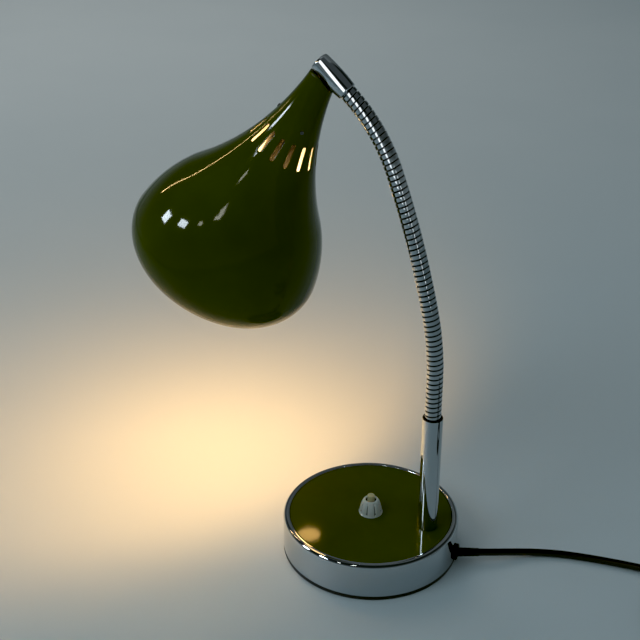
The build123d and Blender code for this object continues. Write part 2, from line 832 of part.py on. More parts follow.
with BuildPart() as clamp_screws:
    with BuildSketch(Plane.XY.offset(clamp_bottom)):
        with Locations((clamp_x, post_spacing / 2), (clamp_x, -post_spacing / 2)):
            Circle(clamp_screw_radius)
    extrude(amount=weight_bottom - clamp_bottom)
    with BuildSketch(Plane.XY.offset(clamp_bottom)):
        with Locations((clamp_x, post_spacing / 2), (clamp_x, -post_spacing / 2)):
            Circle(clamp_screw_radius * 2)
    extrude(amount=-clamp_screw_radius)
finish(clamp_screws, "clamp_screws")

wire_height = weight_bottom - wire_radius * 2
wire_start = stem_offset - lead_radius - fit
with BuildPart() as switch_wires:
    with BuildSketch(Plane((wire_start, 0, wire_height), x_dir=(0, 1, 0), z_dir=(-1, 0, 0))):
        with Locations((wire_spacing / 2, 0), (-wire_spacing / 2, 0)):
            Circle(wire_radius)
    extrude(amount=wire_start - switch_body_radius - fit)
finish(switch_wires, "switch_wires")


# Free mains lead
def bend_radii(points):
    """For each corner of a route, the largest arc that its two runs leave room for."""
    radii = []
    for before, corner, after in zip(points, points[1:], points[2:]):
        run_in = Vector(corner) - Vector(before)
        run_out = Vector(after) - Vector(corner)
        turn = math.radians(run_in.get_angle(run_out))
        radii.append(0.45 * min(run_in.length, run_out.length) / math.tan(turn / 2))
    return radii


def report_tube(name, part, wire):
    """Compare a tube's volume with its section times its length."""
    expected = math.pi * cord_radius**2 * wire.length
    print(f"{name}: length {wire.length:.1f}, volume ratio {part.volume / expected:.4f}")


def least_space(wire):
    """The least space between one turn of a tube and another, measured on points along its line."""
    count = int(wire.length)
    points = [tuple(wire.position_at(step / count)) for step in range(count + 1)]
    apart = int(cord_radius * 8)
    nearest = wire.length
    for place, point in enumerate(points[:-apart]):
        nearest = min(nearest, min(math.dist(point, other) for other in points[place + apart:]))
    return nearest - 2 * cord_radius


turn_pitch = 2 * cord_radius + turn_gap
low_height = cord_radius + tie_thickness + seat_gap + fit
high_height = low_height + turn_pitch
coil_entry = (coil_x - cord_radius * 2, cord_route[-1][1], low_height)
cord_points = [tuple(sleeve_tip), *cord_route, coil_entry]
cord_radii = bend_radii(cord_points)
print("cord bend radii", [round(radius) for radius in cord_radii])
with BuildPart() as mains_cord:
    with BuildLine() as mains_line:
        FilletPolyline(*cord_points, radius=cord_radii)
    with BuildSketch(Plane(mains_line.line @ 0, z_dir=mains_line.line % 0)):
        Circle(cord_radius)
    sweep(path=mains_line.wire())
finish(mains_cord, "mains_cord")
report_tube("mains cord", mains_cord.part, mains_line.wire())

# The coil winds inwards below, climbs in its innermost half turn and winds outwards above
with BuildPart() as cord_coil:
    with BuildLine() as coil_line:
        lead_in = Line(coil_entry, (coil_x, coil_entry[1], low_height))
        here = lead_in @ 1
        side = 1
        half_radius = coil_radius
        for half in range(coil_low_halves + 1 + coil_high_halves):
            rise = turn_pitch if half == coil_low_halves else 0
            over = here + Vector(0, 2 * coil_way * side * half_radius, rise)
            bulge = Vector(side * math.hypot(half_radius, rise / 2), 0, 0)
            ThreePointArc(here, (here + over) * 0.5 + bulge, over)
            here = over
            side = -side
            half_radius += turn_pitch / 2 if half >= coil_low_halves else -turn_pitch / 2
        coil_exit = here + Vector(cord_radius * 2, 0, 0)
        Line(here, coil_exit)
    with BuildSketch(Plane(coil_entry, z_dir=(1, 0, 0))):
        Circle(cord_radius)
    sweep(path=coil_line.wire())
finish(cord_coil, "cord_coil")
report_tube("cord coil", cord_coil.part, coil_line.wire())
print(f"cord coil: least space between turns {least_space(coil_line.wire()):.2f}")

# The tie is a strap round all the turns on the coil's far side
tie_slack = seat_gap * 3
tie_inside = coil_radius - coil_low_halves / 2 * turn_pitch - cord_radius - tie_slack
tie_outside = coil_radius + cord_radius + seat_gap
tie_y = coil_entry[1] + coil_way * coil_radius
tie_bottom = low_height - cord_radius - seat_gap
tie_top = high_height + cord_radius + seat_gap
with BuildPart() as coil_tie:
    with BuildSketch(Plane((coil_x, tie_y, 0), x_dir=(1, 0, 0), z_dir=(0, -1, 0))):
        with Locations(((tie_inside + tie_outside) / 2, (tie_bottom + tie_top) / 2)):
            RectangleRounded(
                tie_outside - tie_inside + 2 * tie_thickness,
                tie_top - tie_bottom + 2 * tie_thickness,
                tie_thickness * 1.5,
            )
            Rectangle(tie_outside - tie_inside, tie_top - tie_bottom, mode=Mode.SUBTRACT)
    extrude(amount=tie_width / 2, both=True)
finish(coil_tie, "coil_tie")

tail_start = tuple(coil_exit + Vector(tail_lead, 0, 0))
tail_points = [tuple(coil_exit), tail_start, *tail_route, tail_end]
tail_radii = bend_radii(tail_points)
print("tail bend radii", [round(radius) for radius in tail_radii])
with BuildPart() as cord_tail:
    with BuildLine() as tail_line:
        FilletPolyline(*tail_points, radius=tail_radii)
    with BuildSketch(Plane(tail_line.line @ 0, z_dir=tail_line.line % 0)):
        Circle(cord_radius)
    sweep(path=tail_line.wire())
finish(cord_tail, "cord_tail")
report_tube("cord tail", cord_tail.part, tail_line.wire())

# Two-pin plug with its own strain relief, lying on the table
plug_way = Vector(0, coil_way, 0)
plug_back = Vector(tail_end) + plug_way * plug_sleeve_length
plug_front = plug_back + plug_way * plug_length
with BuildPart() as plug_sleeve:
    with BuildSketch(Plane(tail_end, z_dir=plug_way)):
        Circle(sleeve_tip_radius)
    with BuildSketch(Plane(plug_back, z_dir=plug_way)):
        Circle(plug_sleeve_radius)
    loft()
finish(plug_sleeve, "plug_sleeve")

with BuildPart() as plug_body:
    with BuildSketch(Plane((plug_back.X, plug_back.Y, 0), x_dir=plug_way.cross(Vector(0, 0, 1)))):
        with BuildLine():
            flank = Spline(
                (plug_neck_width / 2, 0),
                (plug_width / 2, plug_length * 0.6),
                tangents=((0.3, 1), (0, 1)),
            )
            Polyline((0, 0), (plug_neck_width / 2, 0))
            Polyline(flank @ 1, (plug_width / 2, plug_length), (0, plug_length))
            mirror(about=Plane.YZ)
        make_face()
    extrude(amount=plug_thickness)
    fillet(plug_body.faces().filter_by(Axis.Z).edges(), plug_fillet)
finish(plug_body, "plug_body")

with BuildPart() as plug_pins:
    with BuildSketch(Plane(plug_front, x_dir=(1, 0, 0), z_dir=plug_way)):
        with Locations((pin_spacing / 2, 0), (-pin_spacing / 2, 0)):
            Circle(pin_radius)
    extrude(amount=pin_length)
    fillet(plug_pins.edges().group_by(Axis(plug_front, plug_way))[-1], pin_radius / 2)
finish(plug_pins, "plug_pins")

free_length = sleeve_length + mains_line.wire().length + coil_line.wire().length + tail_line.wire().length
print(f"free lead from the bushing to the plug: {free_length:.0f}")
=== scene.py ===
# %% [markdown]
# A desk lamp, dressed for the camera
#
# The lamp's solids come in as a fixed frame, in metres, with the middle of the base's underside at the
# origin, +Z up and the stem towards +X. Every piece made below lies in that same frame, and is worked
# out in millimetres, because that is how a lamp maker would write its sizes down.

# %% Load the frame
import json
import math

import bmesh
import bpy
import numpy as np
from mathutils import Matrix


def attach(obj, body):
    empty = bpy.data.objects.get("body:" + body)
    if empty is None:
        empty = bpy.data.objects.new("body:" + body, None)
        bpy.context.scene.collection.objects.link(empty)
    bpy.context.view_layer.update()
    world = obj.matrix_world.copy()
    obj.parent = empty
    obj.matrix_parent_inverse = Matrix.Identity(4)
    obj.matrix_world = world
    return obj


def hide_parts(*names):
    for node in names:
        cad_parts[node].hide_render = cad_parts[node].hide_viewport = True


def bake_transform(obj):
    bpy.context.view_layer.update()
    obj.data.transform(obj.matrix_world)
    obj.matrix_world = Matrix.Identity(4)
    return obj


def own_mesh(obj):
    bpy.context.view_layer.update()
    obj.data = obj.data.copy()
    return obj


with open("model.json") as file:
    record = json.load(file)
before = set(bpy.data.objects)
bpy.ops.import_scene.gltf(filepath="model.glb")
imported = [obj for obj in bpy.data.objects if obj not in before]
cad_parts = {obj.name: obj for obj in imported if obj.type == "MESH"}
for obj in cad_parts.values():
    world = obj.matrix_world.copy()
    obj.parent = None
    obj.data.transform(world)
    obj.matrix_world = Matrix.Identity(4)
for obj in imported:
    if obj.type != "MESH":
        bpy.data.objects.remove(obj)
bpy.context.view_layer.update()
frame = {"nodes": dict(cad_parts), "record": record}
nodes = frame["nodes"]
MM = 0.001

# %% [markdown]
# The camera
#
# The photograph looks down at the lamp from in front and a little to the stem's side. Camera height,
# distance and turn were worked out from the base's two ellipses and from the stem's upright edges, so
# the lens needs no shift, and the straight edges converge here as they do there. The plain tone curve
# keeps dark olive as saturated as it is; a filmic curve would grey it. The black point is a hair above
# zero, because the photograph's shadows are deep.

# %% Camera
camera_data = bpy.data.cameras.new("photo_camera")
camera_data.sensor_width = 36.0
camera_data.lens = 63.5
camera_data.clip_start = 0.01
camera = bpy.data.objects.new("photo_camera", camera_data)
camera.location = (0.2769, -0.7425, 0.6172)
camera.rotation_euler = (math.radians(63.2), 0.0, math.radians(23.6))
bpy.context.scene.collection.objects.link(camera)
bpy.context.scene.camera = camera
view = bpy.context.scene.view_settings
view.view_transform = "Standard"
view.use_curve_mapping = True
view.curve_mapping.black_level = (0.005, 0.006, 0.010)
view.curve_mapping.update()
print("camera:", [round(value, 3) for value in camera.location])

# %% [markdown]
# Colours and nodes
#
# Colours are written as the hex values that a paint chart gives, and shaders work on linear light, so
# one function turns the first into the second. Another adds a node, sets it and links it, which keeps
# each material down to the lines that say something about the real finish.


# %% Colour and node helpers
def linear(code, alpha=1.0):
    """sRGB hex to linear RGBA: c/12.92 below 0.04045, ((c + 0.055)/1.055)^2.4 above."""
    channels = np.array([int(code[i:i + 2], 16) for i in (1, 3, 5)]) / 255.0
    low = channels / 12.92
    high = ((channels + 0.055) / 1.055) ** 2.4
    return (*np.where(channels <= 0.04045, low, high), alpha)


def add(tree, kind, settings=None, links=None):
    """Add a node to a tree; settings go to its properties or sockets, links join its inputs."""
    item = tree.nodes.new(kind)
    for key, value in (settings or {}).items():
        if isinstance(key, str) and hasattr(item, key):
            setattr(item, key, value)
        else:
            item.inputs[key].default_value = value
    for key, source in (links or {}).items():
        tree.links.new(source, item.inputs[key])
    return item


def new_material(name):
    """A material with an empty node tree, its shader and its output."""
    material = bpy.data.materials.new(name)
    material.use_nodes = True
    tree = material.node_tree
    tree.nodes.clear()
    shader = tree.nodes.new("ShaderNodeBsdfPrincipled")
    output = tree.nodes.new("ShaderNodeOutputMaterial")
    tree.links.new(shader.outputs["BSDF"], output.inputs["Surface"])
    return material, tree, shader


def per_mm(size):
    """Texture scale for a feature of a size in millimetres, on coordinates in metres."""
    return 1.0 / (size * MM)


# %% [markdown]
# Sprayed enamel
#
# Shade and top plate are sheet metal, sprayed olive and stoved. Stoved enamel is a glossy skin with a
# faint orange peel a few millimetres across, and its colour clouds very slightly where the coat is
# thicker. The peel is drawn as bump, and the cloud as a mix between two near colours. The inside of the
# shade is sprayed white, so that it throws the light down.


# %% Enamels
SKIN_DEPTH = 0.2 * MM


def enamel(name, deep, pale, roughness, peel_mm, cloud_mm, peel):
    """Stoved enamel: two near colours in soft clouds, a clear gloss and a fine orange peel."""
    material, tree, shader = new_material(name)
    place = add(tree, "ShaderNodeTexCoord")
    cloud = add(tree, "ShaderNodeTexNoise", {"Scale": per_mm(cloud_mm), "Detail": 3.0},
                {"Vector": place.outputs["Object"]})
    tint = add(tree, "ShaderNodeValToRGB", None, {"Fac": cloud.outputs["Fac"]})
    tint.color_ramp.elements[0].position = 0.35
    tint.color_ramp.elements[0].color = linear(deep)
    tint.color_ramp.elements[1].position = 0.7
    tint.color_ramp.elements[1].color = linear(pale)
    grain = add(tree, "ShaderNodeTexNoise", {"Scale": per_mm(peel_mm), "Detail": 1.0},
                {"Vector": place.outputs["Object"]})
    bump = add(tree, "ShaderNodeBump", {"Strength": peel, "Distance": SKIN_DEPTH},
               {"Height": grain.outputs["Fac"]})
    tree.links.new(tint.outputs["Color"], shader.inputs["Base Color"])
    tree.links.new(bump.outputs["Normal"], shader.inputs["Normal"])
    shader.inputs["Roughness"].default_value = roughness
    shader.inputs["IOR"].default_value = 1.52
    shader.inputs["Specular IOR Level"].default_value = 0.12
    shader.inputs["Coat Weight"].default_value = 0.1
    shader.inputs["Coat Roughness"].default_value = 0.03
    return material


olive_enamel = enamel("olive_stoved_enamel", "#484d12", "#515714", 0.07, 6.0, 60.0, 0.05)
white_enamel = enamel("white_stoved_enamel", "#efe6d2", "#f6efe0", 0.4, 4.0, 50.0, 0.08)
print("enamels:", olive_enamel.name, white_enamel.name)

# %% [markdown]
# Plated and plain metals
#
# Polished chrome is all reflection: a pale, slightly blue metal with hardly any roughness. What makes it
# look real is that it is never perfectly clean, so a broad noise lifts the roughness a little in places,
# as wiping does. Brass, zinc plate and cast iron share the same recipe with other numbers.


# %% Metals
GRAIN_DEPTH = 0.1 * MM


def metal(name, colour, roughness, wiped, wiped_mm, grit, grit_mm):
    """A metal: one colour, roughness that drifts from roughness to wiped, and a grain of its own."""
    material, tree, shader = new_material(name)
    place = add(tree, "ShaderNodeTexCoord")
    drift = add(tree, "ShaderNodeTexNoise", {"Scale": per_mm(wiped_mm), "Detail": 4.0},
                {"Vector": place.outputs["Object"]})
    spread = add(tree, "ShaderNodeMapRange", {"From Min": 0.35, "From Max": 0.75, "To Min": roughness,
                                              "To Max": wiped}, {"Value": drift.outputs["Fac"]})
    grain = add(tree, "ShaderNodeTexNoise", {"Scale": per_mm(grit_mm), "Detail": 2.0},
                {"Vector": place.outputs["Object"]})
    bump = add(tree, "ShaderNodeBump", {"Strength": grit, "Distance": GRAIN_DEPTH},
               {"Height": grain.outputs["Fac"]})
    tree.links.new(spread.outputs["Result"], shader.inputs["Roughness"])
    tree.links.new(bump.outputs["Normal"], shader.inputs["Normal"])
    shader.inputs["Base Color"].default_value = linear(colour)
    shader.inputs["Metallic"].default_value = 1.0
    return material


chrome = metal("polished_chrome", "#bcc2c6", 0.03, 0.07, 40.0, 0.02, 12.0)
hose_chrome = metal("chromed_hose", "#b6bcc0", 0.06, 0.12, 15.0, 0.04, 5.0)
# blackened set screws, and painted shade for the pipe under the barrel
screw_and_pipe_shade_steel = metal("blackened_screws_and_painted_pipe_shade", "#6a6a6b", 0.3, 0.45, 4.0, 0.1, 1.0)
# painted shade: near black for the faces down in the hose's grooves and bore, and for the stem's lip
painted_shade_steel = metal("painted_shade_near_black", "#1b1c1e", 0.45, 0.6, 6.0, 0.2, 1.0)
brass = metal("turned_brass", "#b8913f", 0.22, 0.38, 10.0, 0.1, 1.0)
zinc_plate = metal("zinc_plated_steel", "#a9abac", 0.3, 0.45, 8.0, 0.15, 1.2)
cast_iron = metal("sand_cast_iron", "#3a3a3b", 0.65, 0.8, 10.0, 0.8, 1.5)
print("materials so far:", len(bpy.data.materials))

# %% [markdown]
# Plastics, rubber and felt
#
# The switch collar is a moulded urea plastic, off-white and slightly translucent, so light creeps into
# it. The bottom of its grooves is painted a dark grey, as painted shade. The button has yellowed to
# ivory. Lead, bushing and plug are black and far duller than the metal. The felt under the base is
# duller still, with a faint sheen from its fibres.


# %% Plastics, rubber and felt
GLOW_DEPTH = 2.0 * MM


def plastic(name, deep, pale, roughness, cloud_mm, peel, peel_mm, glow=0.0, sheen=0.0):
    """A moulded plastic, rubber or felt: two near colours in clouds, a skin texture, a little depth."""
    material, tree, shader = new_material(name)
    place = add(tree, "ShaderNodeTexCoord")
    cloud = add(tree, "ShaderNodeTexNoise", {"Scale": per_mm(cloud_mm), "Detail": 4.0},
                {"Vector": place.outputs["Object"]})
    tint = add(tree, "ShaderNodeMix", {"data_type": "RGBA"}, {"Factor": cloud.outputs["Fac"]})
    tint.inputs["A"].default_value = linear(deep)
    tint.inputs["B"].default_value = linear(pale)
    grain = add(tree, "ShaderNodeTexNoise", {"Scale": per_mm(peel_mm), "Detail": 3.0},
                {"Vector": place.outputs["Object"]})
    bump = add(tree, "ShaderNodeBump", {"Strength": peel, "Distance": SKIN_DEPTH},
               {"Height": grain.outputs["Fac"]})
    tree.links.new(tint.outputs["Result"], shader.inputs["Base Color"])
    tree.links.new(bump.outputs["Normal"], shader.inputs["Normal"])
    shader.inputs["Roughness"].default_value = roughness
    shader.inputs["Subsurface Weight"].default_value = glow
    shader.inputs["Subsurface Scale"].default_value = GLOW_DEPTH
    shader.inputs["Sheen Weight"].default_value = sheen
    return material


collar_plastic = plastic("moulded_urea_collar", "#d6d4cb", "#e6e4da", 0.1, 5.0, 0.05, 2.0, glow=0.1)
# painted shade: a dark grey for the bottom of the collar's grooves
collar_groove_shade = plastic("painted_shade_in_collar_grooves", "#4c4e49", "#5c5e58", 0.5, 3.0, 0.2, 1.0)
button_plastic = plastic("yellowed_ivory_button", "#c9bc8b", "#d8cda0", 0.3, 3.0, 0.05, 2.0, glow=0.15)
black_lead = plastic("black_pvc_lead", "#0a0a0b", "#131314", 0.42, 9.0, 0.12, 1.5)
black_rubber = plastic("black_rubber", "#0c0c0c", "#161616", 0.6, 6.0, 0.25, 0.8)
black_bakelite = plastic("black_bakelite", "#0f0d0c", "#1a1614", 0.2, 6.0, 0.05, 2.0)
black_felt = plastic("black_felt", "#050505", "#0e0e0e", 0.95, 1.2, 0.9, 0.5, sheen=0.3)
print("materials so far:", len(bpy.data.materials))

# %% [markdown]
# The lit bulb
#
# The lamp is switched on. A small pearl bulb glows over its whole glass in the warm white of a filament,
# so the glass gets an emission of its own, which lights the inside of the shade and shows in the slots.
# The emission is dimmer on the side that faces the slots and grows towards the table, which keeps the
# slots from burning out.


# %% Bulb materials
def lit(name, dim, bright, strength, way, start_mm, end_mm):
    """A warm light source: its emission grows from dim to bright along a way, between two places on it."""
    material, tree, shader = new_material(name)
    place = add(tree, "ShaderNodeTexCoord")
    along = add(tree, "ShaderNodeVectorMath", {"operation": "DOT_PRODUCT", 1: way},
                {0: place.outputs["Object"]})
    grow = add(tree, "ShaderNodeMapRange", {"interpolation_type": "SMOOTHSTEP", "From Min": start_mm * MM,
                                            "From Max": end_mm * MM}, {"Value": along.outputs["Value"]})
    tint = add(tree, "ShaderNodeMix", {"data_type": "RGBA"}, {"Factor": grow.outputs["Result"]})
    tint.inputs["A"].default_value = linear(dim)
    tint.inputs["B"].default_value = linear(bright)
    tree.links.new(tint.outputs["Result"], shader.inputs["Emission Color"])
    shader.inputs["Base Color"].default_value = linear("#f4efe4")
    shader.inputs["Roughness"].default_value = 0.3
    shader.inputs["Emission Strength"].default_value = strength
    return material


# down, to the left and to the back; along it, the bulb's ball lies between about -240 and -195 mm
LIGHT_WAY = np.array([-0.35, 0.4, -0.85])
LIGHT_WAY /= np.linalg.norm(LIGHT_WAY)
GLASS_DIM_AT, GLASS_BRIGHT_AT = -232.0, -200.0
DOWN = (0.0, 0.0, -1.0)
WIRE_DIM_AT, WIRE_BRIGHT_AT = -320.0, -280.0
pearl_glass = lit("lit_pearl_glass", "#9a8058", "#ffe0b2", 18.0, tuple(LIGHT_WAY), GLASS_DIM_AT,
                  GLASS_BRIGHT_AT)
hot_filament = lit("hot_filament", "#ffc878", "#ffd08a", 60.0, DOWN, WIRE_DIM_AT, WIRE_BRIGHT_AT)
print("bulb light runs along", LIGHT_WAY.round(2))

# %% [markdown]
# Meshes from grids
#
# Nearly every visible piece of the lamp is turned or spun, and what isn't is a section carried along a
# line. Both are grids: one parameter runs along the profile, the other round the section. The points
# are worked out as one array, the faces by counting, and seams and poles are merged afterwards.


# %% Mesh helpers
MIDDLE, UPRIGHT = (0, 0, 0), (0, 0, 1)
WELD, SLIVER = 1e-7, 1e-8


def grid_faces(rows, columns, close_rows=False):
    """Quads of a grid whose columns close on themselves; point (i, j) has number i * columns + j."""
    last = rows if close_rows else rows - 1
    i, j = np.meshgrid(np.arange(last), np.arange(columns), indexing="ij")
    below = (i + 1) % rows
    right = (j + 1) % columns
    quads = (i * columns + j, i * columns + right, below * columns + right, below * columns + j)
    return np.stack(quads, axis=-1).reshape(-1, 4)


def make_piece(name, points, faces, materials, face_material=None, sharp=35.0):
    """A mesh object at the origin from points in millimetres, welded, smooth but for its sharp edges."""
    mesh = bpy.data.meshes.new(name)
    mesh.from_pydata((np.asarray(points) * MM).tolist(), [], np.asarray(faces).tolist())
    for material in materials:
        mesh.materials.append(material)
    if face_material is not None:
        mesh.polygons.foreach_set("material_index", np.asarray(face_material, dtype=np.int32))
    work = bmesh.new()
    work.from_mesh(mesh)
    bmesh.ops.remove_doubles(work, verts=work.verts, dist=WELD)
    bmesh.ops.dissolve_degenerate(work, edges=work.edges, dist=SLIVER)
    work.to_mesh(mesh)
    work.free()
    mesh.polygons.foreach_set("use_smooth", np.ones(len(mesh.polygons), dtype=bool))
    mesh.set_sharp_from_angle(angle=math.radians(sharp))
    piece = bpy.data.objects.new(name, mesh)
    bpy.context.scene.collection.objects.link(piece)
    return piece


def rounded(corners, radii, steps=8):
    """An outline through corners, each one rounded by an arc of its own radius, as an (n, 2) array."""
    corners = np.asarray(corners, dtype=float)
    out = [corners[:1]]
    for before, corner, after, radius in zip(corners[:-2], corners[1:-1], corners[2:], radii):
        if radius <= 0:
            out.append(corner[None])
            continue
        back = (before - corner) / np.linalg.norm(before - corner)
        ahead = (after - corner) / np.linalg.norm(after - corner)
        half = 0.5 * math.acos(np.clip(back @ ahead, -1.0, 1.0))
        middle = corner + (back + ahead) / np.linalg.norm(back + ahead) * radius / math.sin(half)
        first = corner + back * radius / math.tan(half) - middle
        last = corner + ahead * radius / math.tan(half) - middle
        t = np.linspace(0.0, 1.0, steps)[:, None]
        turn = math.pi - 2.0 * half
        out.append(middle + (np.sin((1 - t) * turn) * first + np.sin(t * turn) * last) / math.sin(turn))
    out.append(corners[-1:])
    return np.concatenate(out)


def axis_frame(axis):
    """Two unit vectors square to an axis, so that the three are right-handed."""
    axis = np.asarray(axis, dtype=float)
    first = np.array([0.0, 1.0, 0.0]) if abs(axis[1]) < 0.9 else np.array([1.0, 0.0, 0.0])
    first = first - axis * (first @ axis)
    first /= np.linalg.norm(first)
    return first, np.cross(axis, first), axis


def spun(outline, origin, axis, columns=128, close_rows=False):
    """Spin an (n, 2) outline of radius and height about an axis: P = O + h A + r (cos a E1 + sin a E2)."""
    first, second, axis = axis_frame(axis)
    angle = np.linspace(0.0, 2.0 * math.pi, columns, endpoint=False)
    round_it = np.cos(angle)[:, None] * first + np.sin(angle)[:, None] * second
    outline = np.asarray(outline, dtype=float)
    points = (np.asarray(origin, dtype=float) + outline[:, 1, None, None] * axis
              + outline[:, 0, None, None] * round_it[None])
    return points.reshape(-1, 3), grid_faces(len(outline), columns, close_rows)


def joined(*parts):
    """Put several (points, faces) together, counting the later faces on from the earlier points."""
    points, faces, start = [], [], 0
    for part_points, part_faces in parts:
        points.append(part_points)
        faces.append(part_faces + start)
        start += len(part_points)
    return np.concatenate(points), np.concatenate(faces)


def dress(piece, body, slot, *replaced):
    """Ride a piece on a body and hide the solids that it stands for; slot is not used."""
    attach(piece, body)
    if replaced:
        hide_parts(*replaced)
    return piece


# %% [markdown]
# The mains lead
#
# The lead is one spline from the bushing's tip to the plug. Its control points are the route that the
# solid lead takes over the table. The length that the photograph doesn't show is wound in a coil beside
# the lamp: half turns about two centres, inwards below and outwards above, with the climb between the
# two layers in the innermost half turn. Control points on a polygon round each half turn make the
# spline touch the turn itself at the middle of every side.

# %% Lead
CORD_RADIUS = 3.1
TURN_PITCH = 6.8
COIL_X = 286.0
COIL_RADIUS = 47.5
COIL_WAY = -1.0
COIL_LOW, COIL_HIGH = 4.25, 11.05
COIL_SIDES = 8
LOW_HALVES, HIGH_HALVES = 6, 5
sleeve_tip = np.array([93.65, 14.0, 9.2])
cord_route = [(103.0, 18.3, 8.9), (118.0, 29.0, 6.2), (136.0, 40.0, 3.8), (156.0, 47.2, 3.1),
              (178.0, 51.2, 3.1), (200.0, 53.8, 3.2), (222.0, 55.1, 3.7), (243.0, 54.9, 4.1),
              (262.5, 54.4, 4.25), (279.8, 54.4, 4.25)]
tail_route = [(292.2, 54.4, 11.05), (304.2, 54.4, 11.05), (323.0, 51.8, 9.2), (341.0, 42.8, 6.0),
              (353.0, 26.8, 5.6), (358.0, 6.8, 7.0), (358.0, -7.2, 7.0)]


def half_turns(low_halves, high_halves):
    """Control points of the coil: for half turn k, centre + R/cos(h/2) (sin a, -cos a), a between sides."""
    step = math.pi / COIL_SIDES
    angle = (np.arange(COIL_SIDES) + 0.5) * step
    rows, foot, side, radius = [], cord_route[-1][1], 1.0, COIL_RADIUS
    for half in range(low_halves + 1 + high_halves):
        reach = radius / math.cos(step / 2)
        climb = 0.5 * (1.0 - np.cos(angle)) if half == low_halves else float(half > low_halves)
        rows.append(np.stack([
            COIL_X + side * reach * np.sin(angle),
            foot + COIL_WAY * side * (radius - reach * np.cos(angle)),
            np.broadcast_to(COIL_LOW + climb * (COIL_HIGH - COIL_LOW), angle.shape),
        ], axis=1))
        foot += COIL_WAY * side * 2.0 * radius
        side = -side
        radius += TURN_PITCH / 2 if half >= low_halves else -TURN_PITCH / 2
    return np.concatenate(rows)


def spline_curve(name, points, bevel):
    """A NURBS curve of order 3 that starts and stops at its end points, with a round section."""
    data = bpy.data.curves.new(name, "CURVE")
    data.dimensions = "3D"
    spline = data.splines.new("NURBS")
    spline.points.add(len(points) - 1)
    spline.points.foreach_set("co", np.c_[points * MM, np.ones(len(points))].ravel())
    spline.order_u = 3
    spline.use_endpoint_u = True
    spline.resolution_u = 6
    data.bevel_depth = bevel * MM
    data.bevel_resolution = 5
    data.use_fill_caps = True
    curve = bpy.data.objects.new(name, data)
    bpy.context.scene.collection.objects.link(curve)
    return curve


cord_points = np.concatenate([sleeve_tip[None], cord_route, half_turns(LOW_HALVES, HIGH_HALVES), tail_route])
mains_lead = spline_curve("mains_lead", cord_points, CORD_RADIUS)
mains_lead.data.materials.append(black_lead)
dress(mains_lead, "base", "black_cord", "mains_cord", "cord_coil", "cord_tail")
print("lead control points:", len(cord_points))

# %% [markdown]
# Bushing and strain relief
#
# The lead leaves the ring through a rubber bushing: a thin flange against the chrome and a slim tapered
# sleeve that bends with the lead. Fine rings along the sleeve let it flex. They could be cut one by one,
# but a step in the radius, repeated along the outline, makes all of them as the sleeve is spun.

# %% Bushing
EXIT_TURN = math.radians(5.0)
FLANGE_OUT, FLANGE_UP = 77.5, 9.5
SLEEVE_FOOT, SLEEVE_END, SLEEVE_RINGS, RING_DEPTH = -2.2, 18.0, 6, 0.12
exit_way = np.array([math.cos(EXIT_TURN), math.sin(EXIT_TURN), 0.0])
flange_face = np.array([0.0, 0.0, FLANGE_UP]) + exit_way * FLANGE_OUT
sleeve_way = np.array(cord_route[0]) - flange_face
sleeve_way /= np.linalg.norm(sleeve_way)
along = np.linspace(0.0, 1.0, 73)
in_ring = (np.cos(along * 2 * math.pi * SLEEVE_RINGS) > 0.55) * (along > 0.08)
sleeve_radius = 4.0 - 0.6 * along - RING_DEPTH * in_ring
sleeve_height = along * (SLEEVE_END - SLEEVE_FOOT) + SLEEVE_FOOT
sleeve_outline = np.r_[[(0.0, SLEEVE_FOOT)], np.c_[sleeve_radius, sleeve_height],
                       [(CORD_RADIUS, SLEEVE_END), (0.0, SLEEVE_END)]]
flange_outline = rounded([(0.0, -8.0), (4.6, -8.0), (4.6, -2.5), (7.0, -2.5), (7.0, 0.0), (0.0, 0.0)],
                         [0.4, 0.0, 0.3, 1.0], 6)
bushing = make_piece("cord_bushing_rubber", *joined(
    spun(flange_outline, flange_face, exit_way, 64),
    spun(sleeve_outline, flange_face, sleeve_way, 48)), [black_rubber])
dress(bushing, "base", "black_rubber", "cord_bushing")
print("bushing:", len(bushing.data.polygons), "faces")

# %% [markdown]
# Base ring
#
# The ring is spun from sheet and chromed: a plain upright wall, a small round at the top and a flat rim
# that turns down into the recess of the plate. It is one closed outline, spun about Z. The rounds are
# small, but they carry the bright line that runs round the rim.

# %% Base ring
# radius and height of each corner
ring_corners = [(73.5, 20.0), (73.5, 3.5), (75.0, 3.5), (75.0, 34.5), (69.6, 34.5), (69.6, 31.5),
                (71.1, 31.5), (71.1, 33.0), (73.5, 33.0), (73.5, 20.0)]
ring_outline = rounded(ring_corners, [0.3, 0.5, 3.6, 1.2, 0.2, 0.2, 0.3, 1.8], 12)[:-1]
base_ring = make_piece("base_ring_chrome", *spun(ring_outline, MIDDLE, UPRIGHT, 224, True), [chrome])
dress(base_ring, "base", "mirror_chrome", "base_ring")
pad_outline = rounded([(0.0, 0.0), (74.9, 0.0), (74.9, 3.5), (0.0, 3.5)], [0.5, 0.2], 6)
foot_pad = make_piece("foot_pad_felt", *spun(pad_outline, MIDDLE, UPRIGHT, 160), [black_felt])
dress(foot_pad, "base", "black_felt", "foot_pad")
print(f"base: {len(ring_outline)} points in the ring's outline, {2 * ring_outline[:, 0].max():.0f} mm across")

# %% [markdown]
# Stem
#
# A straight chromed tube, open at the top where the hose goes in, with a rounded lip there. Its foot
# stands on the enamel with a hairline chamfer, which shows as a thin dark line. A bevelled cylinder would
# be near it, but a closed outline gives the wall, the lip and the chamfer their own sizes in one go.

# %% Stem
STEM_X, STEM_TOP, STEM_COLUMNS, LIP = 51.0, 141.0, 128, 1.0
stem_outline = rounded([(7.1, 100.0), (7.1, 34.0), (7.9, 33.5), (8.3, 33.9), (8.3, STEM_TOP), (7.1, STEM_TOP),
                        (7.1, 100.0)], [0.0, 0.0, 0.2, 0.8, 0.35], 8)[:-1]
stem_points, stem_faces = spun(stem_outline, (STEM_X, 0, 0), UPRIGHT, STEM_COLUMNS, True)
